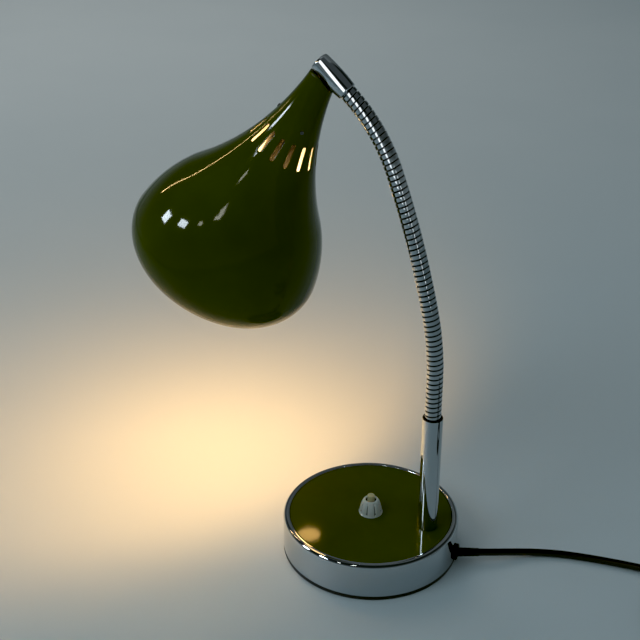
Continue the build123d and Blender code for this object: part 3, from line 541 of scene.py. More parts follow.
# painted shade: the chrome lip is painted near black, like the shade in the gap round the hose
lip = np.repeat(stem_outline[:, 1] > STEM_TOP - LIP, STEM_COLUMNS).astype(int)
stem = make_piece("stem_chrome", stem_points, stem_faces, [chrome, painted_shade_steel], lip)
dress(stem, "base", "mirror_chrome", "stem_tube")
print(f"stem: {len(stem.data.polygons)} faces, its top {STEM_TOP:.0f} mm above the table")

# %% [markdown]
# Flexible neck
#
# The neck is a wound hose: flat chromed ribs with narrow grooves. Its line is a straight start and
# three arcs. A profile of eight points for each rib is wound round it like a screw thread, one pitch up
# for each turn, and a bore inside closes the wall. The faces down in the grooves and in the bore are
# painted near black, as painted shade for the shade that lies there. Rings side by side would be
# simpler, but they don't show the slant of a real winding.
#
# The model bends it at twelve joints, but a real hose bends everywhere. Here each joint gets a length of
# hose at rest, made across the joint, and the section above the joint is hidden. The lengths meet in a
# groove, in the middle of a section. The black lead inside goes with each length.

# %% Neck line
NECK_START = np.array([STEM_X, 0.0, STEM_TOP])
NECK_RUNS = [(32.4, 0.0), (269.0, 12.6), (815.0, 8.0), (142.0, 27.3)]
SECTIONS, RIBS = 13, 5
# a bend so slight that the run counts as straight
STRAIGHT = 1e-7


def neck_table():
    """For each run: where it starts along the line, its first point, its first lean and its bend."""
    rows, s, x, z, lean = [], 0.0, NECK_START[0], NECK_START[2], 0.0
    for radius, turn in NECK_RUNS:
        length = radius if turn == 0.0 else radius * math.radians(turn)
        bend = STRAIGHT if turn == 0.0 else 1.0 / radius
        rows.append((s, x, z, lean, bend))
        after = lean + bend * length
        x += (math.cos(after) - math.cos(lean)) / bend
        z += (math.sin(after) - math.sin(lean)) / bend
        s += length
        lean = after
    rows.append((s, x, z, lean, STRAIGHT))
    return np.array(rows)


neck_runs = neck_table()
NECK_LENGTH = neck_runs[-1, 0]
SECTION = NECK_LENGTH / SECTIONS
PITCH = SECTION / RIBS


def neck_at(s):
    """Point, outward normal and tangent of the neck at lengths s; lean grows as the bend times length."""
    s = np.asarray(s, dtype=float)
    run = np.clip(np.searchsorted(neck_runs[:, 0], s, side="right") - 1, 0, len(neck_runs) - 1)
    start, x, z, lean, bend = np.moveaxis(neck_runs[run], -1, 0)
    now = lean + bend * (s - start)
    zero = np.zeros_like(s)
    point = np.stack([x + (np.cos(now) - np.cos(lean)) / bend, zero,
                      z + (np.sin(now) - np.sin(lean)) / bend], -1)
    normal = np.stack([np.cos(now), zero, np.sin(now)], -1)
    tangent = np.stack([-np.sin(now), zero, np.cos(now)], -1)
    return point, normal, tangent


print(f"neck: {NECK_LENGTH:.1f} mm long, a rib every {PITCH:.2f} mm")


# %% Hose
GROOVE, ROOT, CREST, BORE, LEAD = 0.3, 5.45, 6.6, 2.7, 2.4
EDGE_FROM, EDGE_TO, EDGE_DROP, FLAT_DROP, CROWN = 0.12, 0.42, 0.32, 0.03, 0.02
HOSE_COLUMNS, LEAD_COLUMNS = 64, 24
rib_step = np.array([0.0, GROOVE, GROOVE + EDGE_FROM, GROOVE + EDGE_TO, PITCH / 2, PITCH - GROOVE - EDGE_TO,
                     PITCH - GROOVE - EDGE_FROM, PITCH - GROOVE])
rib_radius = np.array([ROOT, ROOT, CREST - EDGE_DROP, CREST - FLAT_DROP, CREST + CROWN, CREST - FLAT_DROP,
                       CREST - EDGE_DROP, ROOT])
# painted shade: 1 marks the faces down in a groove, which get the near-black material
rib_shade = np.array([1, 1, 0, 0, 0, 0, 1, 1])


def wound(s, radius, columns, rise=0.0, close_rows=False):
    """Wind a profile along the neck: P = C(s') + r (cos a N(s') + sin a B), s' climbing by rise each turn.

    B points across the lamp. With a rise of one pitch, the end of each turn meets the start of the next.
    """
    turn = np.linspace(0.0, 1.0, columns + 1)
    climb = np.asarray(s)[:, None] + rise * turn
    point, normal, _ = neck_at(climb)
    across = np.array([0.0, 1.0, 0.0])
    angle = (2.0 * math.pi * turn)[:, None]
    radius = np.asarray(radius)[:, None]
    reach = np.where(climb > NECK_LENGTH, np.minimum(ROOT, radius), radius)
    points = point + reach[..., None] * (np.cos(angle) * normal + np.sin(angle) * across)
    rows = len(climb)
    i, j = np.meshgrid(np.arange(rows if close_rows else rows - 1), np.arange(columns), indexing="ij")
    first = i * (columns + 1) + j
    after = (i + 1) % rows * (columns + 1) + j
    faces = np.stack([first, first + 1, after + 1, after], -1)
    return points.reshape(-1, 3), faces.reshape(-1, 4)


def hose(name, first_rib, ribs):
    """A length of hose from the groove below first_rib, with the lead inside it.

    The profile runs up the ribs and back down the bore. Where the winding starts and stops, a strip as
    long as one rib joins the two, so that the wall is closed all round.
    """
    starts = (first_rib + np.arange(ribs)) * PITCH
    s = np.r_[(starts[:, None] + rib_step).ravel(), starts[-1] + PITCH]
    rows = len(s)
    radius = np.r_[np.tile(rib_radius, ribs), ROOT, np.full(rows, BORE)]
    wall, wall_faces = wound(np.r_[s, s[::-1]], radius, HOSE_COLUMNS, PITCH, True)
    outer = np.arange(rows) * (HOSE_COLUMNS + 1)
    inner = (2 * rows - 1 - np.arange(rows)) * (HOSE_COLUMNS + 1)
    strip = np.stack([outer[:-1], outer[1:], inner[1:], inner[:-1]], -1)
    ribs_end = strip[-len(rib_step):, ::-1] + HOSE_COLUMNS
    wall_faces = np.concatenate([wall_faces, strip[:len(rib_step)], ribs_end])
    lead_s = np.linspace(s[0], s[-1], 3 * ribs)
    lead = wound(np.r_[s[0], lead_s, s[-1]], np.r_[0.0, np.full(len(lead_s), LEAD), 0.0], LEAD_COLUMNS)
    dark = np.repeat(np.tile(rib_shade, ribs), HOSE_COLUMNS)
    kind = np.r_[dark, np.ones(len(wall_faces) - len(dark), dtype=int), np.full(len(lead[1]), 2)]
    points, faces = joined((wall, wall_faces), lead)
    return make_piece(name, points, faces, [hose_chrome, painted_shade_steel, black_lead], kind, 30.0)


# %% Hose lengths
RIBS_BELOW, BEND_REACH, TURNED_FROM_ABOVE = 3, 7.5, 5
foot_hose = hose("neck_hose_00", -2, RIBS_BELOW + 1)
dress(foot_hose, "base", "neck_chrome", "neck_section_01", "neck_lead")
hose_lengths = []
for joint in range(1, SECTIONS):
    below = "base" if joint == 1 else f"neck_{joint:02d}"
    above = f"neck_{joint + 1:02d}"
    length = hose(f"neck_hose_{joint:02d}", joint * RIBS - RIBS_BELOW, RIBS)
    pivot, _, tangent = neck_at(joint * SECTION)
    reach = tangent * BEND_REACH
    # for the fifth length, the sections below and above swap, and its reach turns round
    if joint == TURNED_FROM_ABOVE:
        below, above, reach = above, below, -reach
    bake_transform(length)
    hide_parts(f"neck_section_{joint + 1:02d}")
    hose_lengths.append(length)
top_hose = hose("neck_hose_13", SECTIONS * RIBS - RIBS_BELOW, RIBS_BELOW)
dress(top_hose, f"neck_{SECTIONS}", "neck_chrome")
print("hose:", len(hose_lengths), "lengths that bend and two that don't,", len(foot_hose.data.polygons),
      "faces in the lowest")

# %% [markdown]
# Head barrel
#
# A short chromed barrel closes the hose. It swells a little in the middle, its far end is domed, and a
# blind bore takes the hose. It is spun about the neck's last direction, and the shade hangs under it. A
# stretched ball would have the swell but no clean ends, so swell, dome and bore are parts of one outline.

# %% Head frame and barrel
BARREL_GAP, SHADE_AT = 0.3, 21.8
neck_end, _, barrel_axis = neck_at(NECK_LENGTH)
barrel_entry = neck_end + barrel_axis * BARREL_GAP
crossing = neck_end + barrel_axis * SHADE_AT
TILT = math.radians(30.0)
shade_axis = np.array([-math.sin(TILT), 0.0, -math.cos(TILT)])
BARREL_LENGTH, BARREL_END, BARREL_SWELL, DOME = 31.0, 7.6, 0.7, 2.2
BARREL_BORE, BORE_DEPTH = 6.05, 9.0
h = np.linspace(0.6, BARREL_LENGTH - DOME, 40)
swell = BARREL_END + BARREL_SWELL * (1.0 - ((h - BARREL_LENGTH / 2) / (BARREL_LENGTH / 2)) ** 2)
dome = np.linspace(0.0, math.pi / 2, 14)
dome_radius = swell[-1] - DOME * (1.0 - np.cos(dome))
dome_height = h[-1] + DOME * np.sin(dome)
barrel_outline = np.r_[[(0.0, BORE_DEPTH), (BARREL_BORE, BORE_DEPTH), (BARREL_BORE, 0.0), (7.25, 0.0)],
                       np.c_[swell, h], np.c_[dome_radius, dome_height],
                       [(2.5, BARREL_LENGTH + 0.25), (0.0, BARREL_LENGTH + 0.3)]]
barrel = make_piece("head_barrel_chrome", *spun(barrel_outline, barrel_entry, barrel_axis, 128), [chrome])
dress(barrel, "head", "mirror_chrome", "head_barrel")
print(f"barrel: {2 * swell.max():.1f} mm across, entered at", barrel_entry.round(1))

# %% [markdown]
# Shade
#
# The shade is spun: its outline is a long hollow neck, a shoulder and a tighter curve in to the mouth,
# three arcs that run on from each other. Fifteen slots are punched round the neck. The grid is laid out
# in fifteen strips from slot to slot. Above and below the slots, the strips meet and are welded;
# between, each strip draws back from the slot's middle by the slot's half width, so the opening has
# true round ends. The top is cut on a slant to lie under the barrel. A Solidify modifier then gives the
# sheet its thickness, with white enamel on the inside.

# %% Shade outline
START_DEPTH, START_RADIUS, START_LEAN = 4.0, 10.5, math.radians(5.9)
SHADE_ARCS = [(-233.0, 31.2), (119.0, 26.2), (34.0, 57.4)]
SLOTS, SLOT_PHASE, SLOT_MIDDLE, SLOT_LENGTH, SLOT_WIDTH = 15, 5.3, 63.6, 17.8, 3.5


def shade_profile(count):
    """Depth and radius along the outline: each arc adds R (sin) down and R (cos) out as it turns."""
    depth, radius, lean = START_DEPTH, START_RADIUS, START_LEAN
    rows = []
    for size, turn in SHADE_ARCS:
        way = -1.0 if size < 0 else 1.0
        turned = np.linspace(0.0, math.radians(turn), count)
        now = lean - way * turned
        rows.append(np.stack([depth - size * (np.sin(now) - math.sin(lean)),
                              radius + size * (np.cos(now) - math.cos(lean))], 1))
        depth, radius = rows[-1][-1]
        lean = now[-1]
    return np.concatenate([rows[0], rows[1][1:], rows[2][1:]])


outline = shade_profile(60)


def shade_radius(depth):
    """Radius of the shade's outside at a depth below the barrel's axis."""
    return np.interp(depth, outline[:, 0], outline[:, 1])


print(f"shade outline: {len(outline)} points, {2 * outline[:, 1].max():.0f} mm wide")

# %% Slots
SHADE_TOP, SHOULDER_DEPTH = 12.0, 150.0
slot_half = SLOT_WIDTH / 2
slot_low, slot_high = SLOT_MIDDLE - SLOT_LENGTH / 2, SLOT_MIDDLE + SLOT_LENGTH / 2
round_end = slot_half * (1.0 - np.cos(np.linspace(0.0, math.pi / 2, 8)))
depths = np.unique(np.round(np.r_[
    np.linspace(SHADE_TOP, slot_low, 28), slot_low + round_end,
    np.linspace(slot_low + slot_half, slot_high - slot_half, 12), slot_high - round_end,
    np.linspace(slot_high, SHOULDER_DEPTH, 40), outline[outline[:, 0] > SHOULDER_DEPTH, 0]], 5))
inset = np.clip(np.minimum(depths - slot_low, slot_high - depths), 0.0, slot_half)
half_width = np.where((depths > slot_low) & (depths < slot_high),
                      np.sqrt(np.maximum(slot_half ** 2 - (slot_half - inset) ** 2, 0.0)), 0.0)
radii = shade_radius(depths)
half_angle = half_width / radii
print(f"slots: {SLOTS}, each {SLOT_LENGTH} by {SLOT_WIDTH} mm")

# %% Strips from one slot's edge to the next
STRIP = 14
share = np.linspace(0.0, 1.0, STRIP)
sector = 2.0 * math.pi / SLOTS
centre = math.radians(SLOT_PHASE) + sector * np.arange(SLOTS)
angle = (centre[:, None, None] + half_angle[None, :, None]
         + share[None, None, :] * (sector - 2.0 * half_angle[None, :, None]))
first, second, _ = axis_frame(shade_axis)
level = shade_axis - barrel_axis * (shade_axis @ barrel_axis)
level /= np.linalg.norm(level)
BARREL_CLEAR, SADDLE, CUT_ROUNDS = 8.6, 4.5, 12
# where the cut meets the sheet: a slant that runs under the barrel and rises on both sides of it
cut = np.full(angle.shape[0::2], SHADE_TOP)
around = np.cos(angle[:, 0, :]) * (first @ level) + np.sin(angle[:, 0, :]) * (second @ level)
beside = (np.cos(angle[:, 0, :]) * first[1] + np.sin(angle[:, 0, :]) * second[1]) ** 2
for _ in range(CUT_ROUNDS):
    cut = (BARREL_CLEAR - SADDLE * beside - shade_radius(cut) * around) / (shade_axis @ level)
print(f"cut: {cut.min():.1f} to {cut.max():.1f} mm below the barrel's axis")

# %% Shade mesh
SHEET = 1.0
upper = np.clip((slot_low - depths) / (slot_low - depths[0]), 0.0, 1.0)[None, :, None]
deep = depths[None, :, None] + upper * (cut[:, None, :] - depths[0])
wide = np.where(upper > 0, shade_radius(deep), radii[None, :, None])
points = (crossing + deep[..., None] * shade_axis
          + wide[..., None] * (np.cos(angle)[..., None] * first + np.sin(angle)[..., None] * second))
rows = len(depths)
i, j = np.meshgrid(np.arange(rows - 1), np.arange(STRIP - 1), indexing="ij")
strip_faces = np.stack([i * STRIP + j, i * STRIP + j + 1, (i + 1) * STRIP + j + 1, (i + 1) * STRIP + j],
                       -1).reshape(-1, 4)
faces = (strip_faces[None] + (np.arange(SLOTS) * rows * STRIP)[:, None, None]).reshape(-1, 4)
shade = make_piece("shade_enamel", points.reshape(-1, 3), faces, [olive_enamel, white_enamel], None, 50.0)
wall = shade.modifiers.new("sheet", "SOLIDIFY")
wall.thickness = SHEET * MM
wall.offset = -1.0
wall.material_offset = 1
wall.material_offset_rim = 0
wall.use_even_offset = True
dress(shade, "head", "olive_enamel", "shade")
print(f"shade: {len(faces)} faces, mouth {outline[-1, 0]:.0f} mm below the barrel")

# %% [markdown]
# Bulb
#
# A small round bulb with a straight neck. Its outline is a short neck, a smooth shoulder and part of a
# sphere. The cap is a cup of rolled brass that the glass stands in, and its round thread is drawn as
# rings because the turns are so fine. Two outlines, spun apart, keep glass and brass separate pieces.

# %% Bulb
BULB_RADIUS, GLASS_START, BULB_LENGTH = 22.5, 92.2, 58.0
BULB_NECK, CAP_START, CAP_LENGTH = 6.5, 70.2, 22.0
GLASS_FOOT, FOOT_UP = 5.9, 4.0
THREAD, THREAD_DEPTH, THREAD_RINGS = 6.6, 0.3, 6
CUP_RADIUS, CUP_FLOOR = 6.2, 3.4
ball = GLASS_START + BULB_LENGTH - BULB_RADIUS
t = np.linspace(0.0, 1.0, 24)
ease = t * t * (3.0 - 2.0 * t)
shoulder = np.c_[BULB_NECK + (BULB_RADIUS - BULB_NECK) * ease, GLASS_START + (ball - GLASS_START) * t]
crown = np.linspace(0.0, math.pi / 2, 24)
bulb_outline = np.r_[[(0.0, CAP_START + FOOT_UP), (GLASS_FOOT, CAP_START + FOOT_UP),
                      (GLASS_FOOT, GLASS_START - 0.4)], shoulder,
                     np.c_[BULB_RADIUS * np.cos(crown), ball + BULB_RADIUS * np.sin(crown)][1:]]
bulb = make_piece("bulb_pearl_glass", *spun(bulb_outline, crossing, shade_axis, 64), [pearl_glass])
dress(bulb, "head", "bulb_glass", "bulb_glass")
turn = np.linspace(0.0, 1.0, 60)
thread = THREAD + THREAD_DEPTH * np.sin(turn * 2.0 * math.pi * THREAD_RINGS)
cap_outline = np.r_[[(0.0, CAP_START), (3.2, CAP_START), (5.6, CAP_START + 1.6)],
                    np.c_[thread, CAP_START + 3.0 + 16.0 * turn],
                    [(6.9, CAP_START + CAP_LENGTH), (CUP_RADIUS, CAP_START + CAP_LENGTH),
                     (CUP_RADIUS, CAP_START + CUP_FLOOR), (0.0, CAP_START + CUP_FLOOR)]]
cap = make_piece("bulb_cap_brass", *spun(cap_outline, crossing, shade_axis, 64), [brass])
dress(cap, "head", "brass", "bulb_cap")
print(f"bulb: {2 * BULB_RADIUS:.0f} mm ball, cap {CAP_LENGTH:.0f} mm long")

# %% [markdown]
# Switch
#
# The collar is a small moulded dome on a thin round foot, with eight broad lobes and narrow grooves
# between them that fade out towards the top. Its radius is the dome's, less the groove's depth, which
# is a narrow bell in the angle. Cutting the grooves out of a dome would leave hard edges along them, where
# a moulding is soft. Faces at the bottom of a groove are painted dark grey, and the collar's bore is
# painted black, both as painted shade. The button is a plain round pin with softened edges.

# %% Switch collar
PLATE_TOP, COLLAR_HEIGHT, LOBES, LOBE_DEPTH = 33.5, 12.9, 8, 1.4
BELL_WIDTH, GROOVE_SHADE_FROM = 0.085, 0.75
rise = np.linspace(0.0, 1.0, 40)
dome_out = 5.9 + 3.9 * np.maximum(1.0 - rise ** 1.5, 0.0) ** 0.7
foot = np.array([(5.7, 0.0), (10.2, 0.0), (10.2, 0.75), (9.95, 1.0)])
top = np.array([(5.5, COLLAR_HEIGHT + 0.12), (4.7, COLLAR_HEIGHT), (4.3, COLLAR_HEIGHT - 0.5),
                (4.25, COLLAR_HEIGHT - 1.0), (4.25, 4.5)])
dome_up = 1.0 + (COLLAR_HEIGHT - 1.0) * rise
collar_outline = np.r_[foot, np.c_[dome_out, dome_up], top]
grooved = LOBE_DEPTH * np.minimum(1.0, rise * 12.0) * (1.0 - rise) ** 0.4
lobed = np.r_[np.zeros(len(foot)), grooved, np.zeros(len(top))]
COLLAR_COLUMNS = 192
spin = np.linspace(0.0, 2.0 * math.pi, COLLAR_COLUMNS, endpoint=False)
off_groove = (spin * LOBES / (2.0 * math.pi) + 0.5) % 1.0 - 0.5
bell = np.exp(-(off_groove / BELL_WIDTH) ** 2)
radius = collar_outline[:, :1] - lobed[:, None] * bell
collar_points = np.stack([radius * np.cos(spin), radius * np.sin(spin),
                          np.broadcast_to(PLATE_TOP + collar_outline[:, 1:], radius.shape)], -1)
# painted shade: the bore is painted black, and the bottom of each groove dark grey
collar_kind = np.where(0.5 * (bell + np.roll(bell, -1)) * lobed[:, None] > GROOVE_SHADE_FROM, 2, 0)
collar_kind[len(collar_outline) - 3:] = 1
collar = make_piece("switch_collar_moulded", collar_points.reshape(-1, 3),
                    grid_faces(len(collar_outline), COLLAR_COLUMNS, True),
                    [collar_plastic, black_bakelite, collar_groove_shade], collar_kind.ravel(), 40.0)
dress(collar, "base", "cream_plastic", "switch_collar")
print("collar:", len(collar.data.polygons), "faces,", int((collar_kind == 2).sum()), "of them shaded")

# %% Button
BUTTON_SHOWS, BUTTON_FOOT, BUTTON_SEAT = 4.4, 30.0, 32.0
BUTTON_TOP = PLATE_TOP + COLLAR_HEIGHT + BUTTON_SHOWS
button_corners = [(0.0, BUTTON_FOOT), (4.6, BUTTON_FOOT), (4.6, BUTTON_SEAT), (3.15, BUTTON_SEAT),
                  (3.15, BUTTON_TOP - 0.25), (1.6, BUTTON_TOP)]
button_outline = np.r_[rounded(button_corners, [0.2, 0.2, 0.0, 0.7], 8), [(0.0, BUTTON_TOP)]]
button = make_piece("switch_button_ivory", *spun(button_outline, MIDDLE, UPRIGHT, 64), [button_plastic])
dress(button, "button", "ivory_plastic", "switch_button")
print(f"button: its top {BUTTON_TOP:.1f} mm above the table")

# %% [markdown]
# Return spring
#
# Inside the switch, a coil spring lifts the button. A round section is carried along a helix. A Screw
# modifier could turn the section too, but with the points in one array, the wire's ends are easily
# closed.

# %% Spring
SPRING_LOW, SPRING_HIGH, SPRING_TURNS, SPRING_RADIUS = 17.3, BUTTON_FOOT, 6.5, 3.6
WIRE, WIRE_SIDES = 0.35, 8
along = np.r_[0.0, np.linspace(0.0, 1.0, 240), 1.0]
# the wire's two ends shrink to a point, which closes them
thick = np.full(len(along), WIRE)
thick[[0, -1]] = 0.0
swing = along * SPRING_TURNS * 2.0 * math.pi
climb = SPRING_LOW + WIRE + (SPRING_HIGH - SPRING_LOW - 2 * WIRE) * along
ring = np.linspace(0.0, 2.0 * math.pi, WIRE_SIDES, endpoint=False)
reach = SPRING_RADIUS + thick[:, None] * np.cos(ring)
spring_points = np.stack([np.cos(swing)[:, None] * reach, np.sin(swing)[:, None] * reach,
                          climb[:, None] + thick[:, None] * np.sin(ring)], -1)
spring_faces = grid_faces(len(along), WIRE_SIDES)[:, ::-1]
spring = make_piece("switch_spring_wire", spring_points.reshape(-1, 3), spring_faces, [zinc_plate])
dress(spring, "base", "plated_steel", "switch_spring")
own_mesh(spring)
print(f"spring: {SPRING_TURNS} turns, {SPRING_HIGH - SPRING_LOW:.1f} mm long at rest")

# %% [markdown]
# Plug
#
# The lead ends in a moulded two-pin plug. Its body is a row of rounded sections from a narrow neck to a
# flat front; each section is a superellipse, so the sides stay soft. A rounded box would be quicker, but
# it doesn't narrow towards the lead. A ribbed sleeve takes the bend.

# %% Plug
PLUG_X, PLUG_Z, SLEEVE_BACK, SLEEVE_LENGTH, PLUG_LENGTH = 358.0, 7.0, -7.2, 22.0, 34.0
PLUG_SIDES, RELIEF_RINGS, RELIEF_DEPTH = 64, 7, 0.35
t = np.r_[0.0, 0.0, np.linspace(0.02, 0.97, 30), 1.0, 1.0]
grow = np.clip(t / 0.62, 0.0, 1.0)
half_wide = 6.5 + 7.0 * grow * grow * (3.0 - 2.0 * grow)
half_thick = 5.6 + 1.4 * np.clip(t / 0.3, 0.0, 1.0)
shrink = np.ones_like(t)
shrink[[0, -1]] = 0.0
shrink[[1, -2]] = 0.9
corner = np.linspace(0.0, 2.0 * math.pi, PLUG_SIDES, endpoint=False)
square = np.abs(np.cos(corner)) ** 4 + np.abs(np.sin(corner)) ** 4
around = np.stack([np.cos(corner), np.sin(corner)]) / square ** 0.25
plug_points = np.stack([
    PLUG_X + (half_wide * shrink)[:, None] * around[0],
    np.broadcast_to(SLEEVE_BACK - SLEEVE_LENGTH - PLUG_LENGTH * t[:, None], (len(t), PLUG_SIDES)),
    PLUG_Z + (half_thick * shrink)[:, None] * around[1]], -1)
plug = make_piece("plug_body_moulded", plug_points.reshape(-1, 3), grid_faces(len(t), PLUG_SIDES),
                  [black_bakelite])
dress(plug, "base", "black_bakelite", "plug_body")
along = np.linspace(0.0, 1.0, 88)
relief = 3.5 + 1.5 * along - RELIEF_DEPTH * (np.cos(along * 2.0 * math.pi * RELIEF_RINGS) > 0.5)
relief_outline = np.r_[[(0.0, 0.0)], np.c_[relief, SLEEVE_LENGTH * along], [(0.0, SLEEVE_LENGTH)]]
relief_foot = (PLUG_X, SLEEVE_BACK, PLUG_Z)
sleeve = make_piece("plug_sleeve_rubber", *spun(relief_outline, relief_foot, (0, -1, 0), 40), [black_rubber])
dress(sleeve, "base", "black_rubber", "plug_sleeve")
print(f"plug: {2 * half_wide.max():.0f} by {2 * half_thick.max():.0f} mm, {PLUG_LENGTH:.0f} mm long")

# %% [markdown]
# Solids that keep their own shape
#
# Flat plates, nuts, screws, holders and everything hidden in the base already have the right shape, so
# they get the finish of the slot that the record gives them. The set screws are then blackened, and the
# pipe under the barrel is painted dark as painted shade.

# %% Finishes for the other solids
finishes = {
    "mirror_chrome": chrome, "neck_chrome": hose_chrome, "olive_enamel": olive_enamel,
    "cast_iron": cast_iron, "plated_steel": zinc_plate, "black_felt": black_felt,
    "black_bakelite": black_bakelite, "cream_plastic": collar_plastic, "ivory_plastic": button_plastic,
    "brass": brass, "black_rubber": black_rubber, "black_cord": black_lead, "bulb_glass": pearl_glass,
    "filament": hot_filament,
}
for part in frame["record"]["subparts"]:
    solid = nodes[part["node"]]
    solid.data.materials.clear()
    solid.data.materials.append(finishes[part["material_slot"]])
# the set screws are blackened; the pipe is painted dark, as painted shade
for name in ("set_screws", "shade_pipe"):
    nodes[name].data.materials[0] = screw_and_pipe_shade_steel

# %% [markdown]
# What the lead is
#
# A cord has no fixed shape: it lies differently on every table. Here the script only prints the point
# at the bushing where the lead leaves the lamp.

# %% Cord
print("cord: leaves the lamp at", flange_face.round(1), "mm")

# %% [markdown]
# Floor and light
#
# The lamp stands on flat pale paper, so wide that the camera sees no edge of it. A cool key light from
# the front left, an even light from the ceiling and a glow far to the left give the soft light of a
# studio. The warm pool on the table comes from a spot outside the shade, which moves with the head and
# lights the paper alone: it stands in for what the bulb throws down, and was placed to match the
# photograph.
#
# Gloss needs something to mirror. Small panes make the highlights on the shade, and larger cards, which
# light only the metal that is named with them, make the bright bands on the chrome. The walls are a grey
# that darkens upwards.


# %% Floor
MOTTLE = 300.0


def floor_paper():
    """Pale matt paper with the faintest mottling."""
    material, tree, shader = new_material("pale_matt_paper")
    place = add(tree, "ShaderNodeTexCoord")
    cloud = add(tree, "ShaderNodeTexNoise", {"Scale": per_mm(MOTTLE), "Detail": 2.0},
                {"Vector": place.outputs["Object"]})
    tint = add(tree, "ShaderNodeMix", {"data_type": "RGBA"}, {"Factor": cloud.outputs["Fac"]})
    tint.inputs["A"].default_value = linear("#dfe3e4")
    tint.inputs["B"].default_value = linear("#e6e9e9")
    tree.links.new(tint.outputs["Result"], shader.inputs["Base Color"])
    shader.inputs["Roughness"].default_value = 0.55
    return material


FLOOR = 30000.0
floor_points = FLOOR * np.array([(-1.0, -1.0, 0.0), (1.0, -1.0, 0.0), (1.0, 1.0, 0.0), (-1.0, 1.0, 0.0)])
floor = make_piece("paper_floor", floor_points, np.array([(0, 1, 2, 3)]), [floor_paper()])
print(f"floor: {2 * FLOOR / 1000:.0f} m square")


# %% Light helpers
def facing(toward):
    """Euler angles that turn a light, which shines down its own -Z, into a direction."""
    flat = math.hypot(toward[0], toward[1])
    return math.atan2(flat, -toward[2]), 0.0, math.atan2(toward[1], toward[0]) - math.pi / 2


def soft_light(name, place, aim, size, power, colour, role):
    """A rectangular area light at a place, facing a point; its role is "lights" or "reflected"."""
    data = bpy.data.lights.new(name, "AREA")
    data.shape = "RECTANGLE"
    data.size, data.size_y = size
    data.energy = power
    data.color = linear(colour)[:3]
    lamp = bpy.data.objects.new(name, data)
    lamp.location = place
    lamp.rotation_euler = facing(np.asarray(aim) - np.asarray(place))
    lamp.visible_camera = False
    lamp.visible_glossy = role == "reflected"
    lamp.visible_diffuse = role == "lights"
    bpy.context.scene.collection.objects.link(lamp)
    return lamp


def group(name, pieces):
    """A collection of pieces, for lights that fall on these alone."""
    collection = bpy.data.collections.new(name)
    for piece in pieces:
        collection.objects.link(piece)
    return collection


# %% Light that falls on things
soft_light("key_front", (-0.95, -1.25, 1.45), (-0.05, 0.0, 0.2), (0.9, 0.9), 6.2, "#cfecfa", "lights")
ceiling_data = bpy.data.lights.new("ceiling", "SUN")
ceiling_data.energy = 0.58
ceiling_data.angle = math.radians(120.0)
ceiling_data.color = linear("#c4e4f2")[:3]
ceiling = bpy.data.objects.new("ceiling", ceiling_data)
ceiling.visible_glossy = False
bpy.context.scene.collection.objects.link(ceiling)
soft_light("far_left_glow", (-1.6, 1.5, 1.6), (-1.6, 1.5, 0.0), (2.0, 2.0), 11.5, "#f6f2ec", "lights")
pool_data = bpy.data.lights.new("lamp_pool", "SPOT")
pool_data.energy = 2.8
pool_data.color = linear("#ffc87a")[:3]
pool_data.spot_size = math.radians(143.0)
pool_data.spot_blend = 0.44
pool_data.shadow_soft_size = 0.012
pool = bpy.data.objects.new("lamp_pool", pool_data)
pool.location = (-0.191, 0.086, 0.241)
pool.rotation_euler = facing((-0.138, 0.065, -0.241))
pool.visible_glossy = False
pool.visible_camera = False
bpy.context.scene.collection.objects.link(pool)
pool.light_linking.receiver_collection = group("lit_paper", [floor])
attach(pool, "head")
print("pool: a spot of", round(math.degrees(pool_data.spot_size)), "degrees that rides on the head")

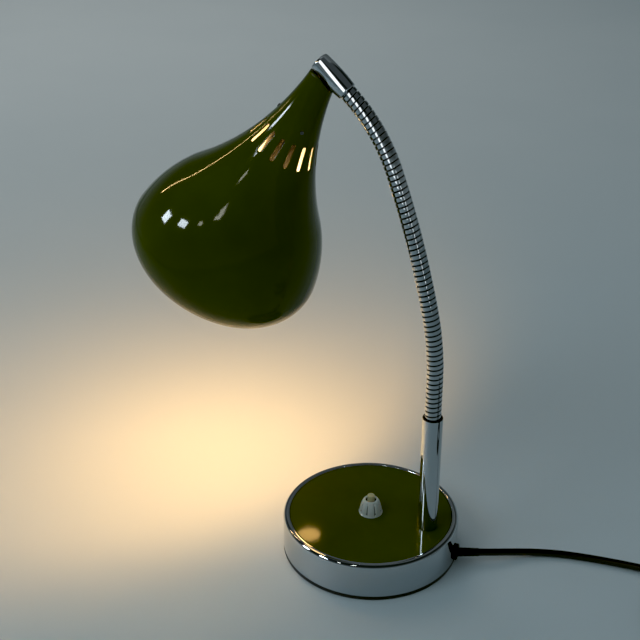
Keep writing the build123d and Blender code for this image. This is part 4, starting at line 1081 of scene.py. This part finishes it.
# %% Light that shows in the gloss
HIGHLIGHT = (-0.13, -0.06, 0.3)
soft_light("pane_left", (-1.69, -0.71, 1.2), HIGHLIGHT, (0.30, 0.22), 10.0, "#e6f4ff", "reflected")
soft_light("pane_front_left", (-1.15, -1.3, 1.33), HIGHLIGHT, (0.34, 0.18), 9.5, "#e6f4ff", "reflected")
soft_light("pane_front", (-0.55, -1.52, 1.44), HIGHLIGHT, (0.14, 0.12), 0.8, "#f4f4ea", "reflected")
soft_light("pane_high", (-0.02, -1.47, 1.58), HIGHLIGHT, (0.20, 0.10), 1.0, "#f4f4ea", "reflected")
soft_light("warm_strip", (-1.22, 0.25, 0.97), (-0.15, -0.04, 0.32), (0.014, 0.45), 1.2, "#ffd596",
           "reflected")
patch = soft_light("warm_patch", (-0.133, 0.166, 0.216), (-0.035, -0.051, 0.034), (0.024, 0.014), 0.016,
                   "#ffc774", "reflected")
patch.data.shape = "ELLIPSE"

# %% Cards for the chrome
hoses = [foot_hose, top_hose, *hose_lengths]
chrome_pieces = group("chrome_pieces", [barrel, *hoses])
card = soft_light("chrome_card", (0.145, -1.32, 0.8), (-0.04, 0.0, 0.41), (0.5, 1.6), 5.0, "#ffffff",
                  "reflected")
card.light_linking.receiver_collection = chrome_pieces
low_card = soft_light("low_card", (0.97, -0.93, 0.22), (0.03, 0.0, 0.3), (0.09, 0.46), 0.3, "#ffffff",
                      "reflected")
low_card.light_linking.receiver_collection = chrome_pieces
side_card = soft_light("side_card", (1.05, -0.1, 2.0), (-0.03, 0.0, 0.41), (2.4, 2.4), 1.5, "#d4e2ec",
                       "reflected")
side_card.light_linking.receiver_collection = chrome_pieces
end_card = soft_light("end_card", (-0.6, 0.0, 2.35), (-0.06, 0.0, 0.43), (1.2, 1.2), 1.4, "#e6f0f4",
                      "reflected")
end_card.light_linking.receiver_collection = group("barrel_piece", [barrel])
rim_card = soft_light("rim_card", (-0.3, 0.9, 1.9), (0.0, 0.0, 0.03), (2.4, 2.4), 2.6, "#dbe6ea", "reflected")
rim_card.light_linking.receiver_collection = group("mirror_pieces", [base_ring, barrel, *hoses])
print("lights:", len(bpy.data.lights))

# %% Studio walls
world = bpy.data.worlds.new("studio_walls")
bpy.context.scene.world = world
world.use_nodes = True
air = world.node_tree
place = add(air, "ShaderNodeTexCoord")
height = add(air, "ShaderNodeSeparateXYZ", None, {"Vector": place.outputs["Generated"]})
WALL_TOP = 0.45
up = add(air, "ShaderNodeMapRange", {"From Min": 0.0, "From Max": WALL_TOP}, {"Value": height.outputs["Z"]})
wall = add(air, "ShaderNodeMix", {"data_type": "RGBA"}, {"Factor": up.outputs["Result"]})
wall.inputs["A"].default_value = linear("#7d898d")
wall.inputs["B"].default_value = linear("#1d2427")
air.links.new(wall.outputs["Result"], air.nodes["Background"].inputs["Color"])
print("walls:", len(air.nodes), "nodes")
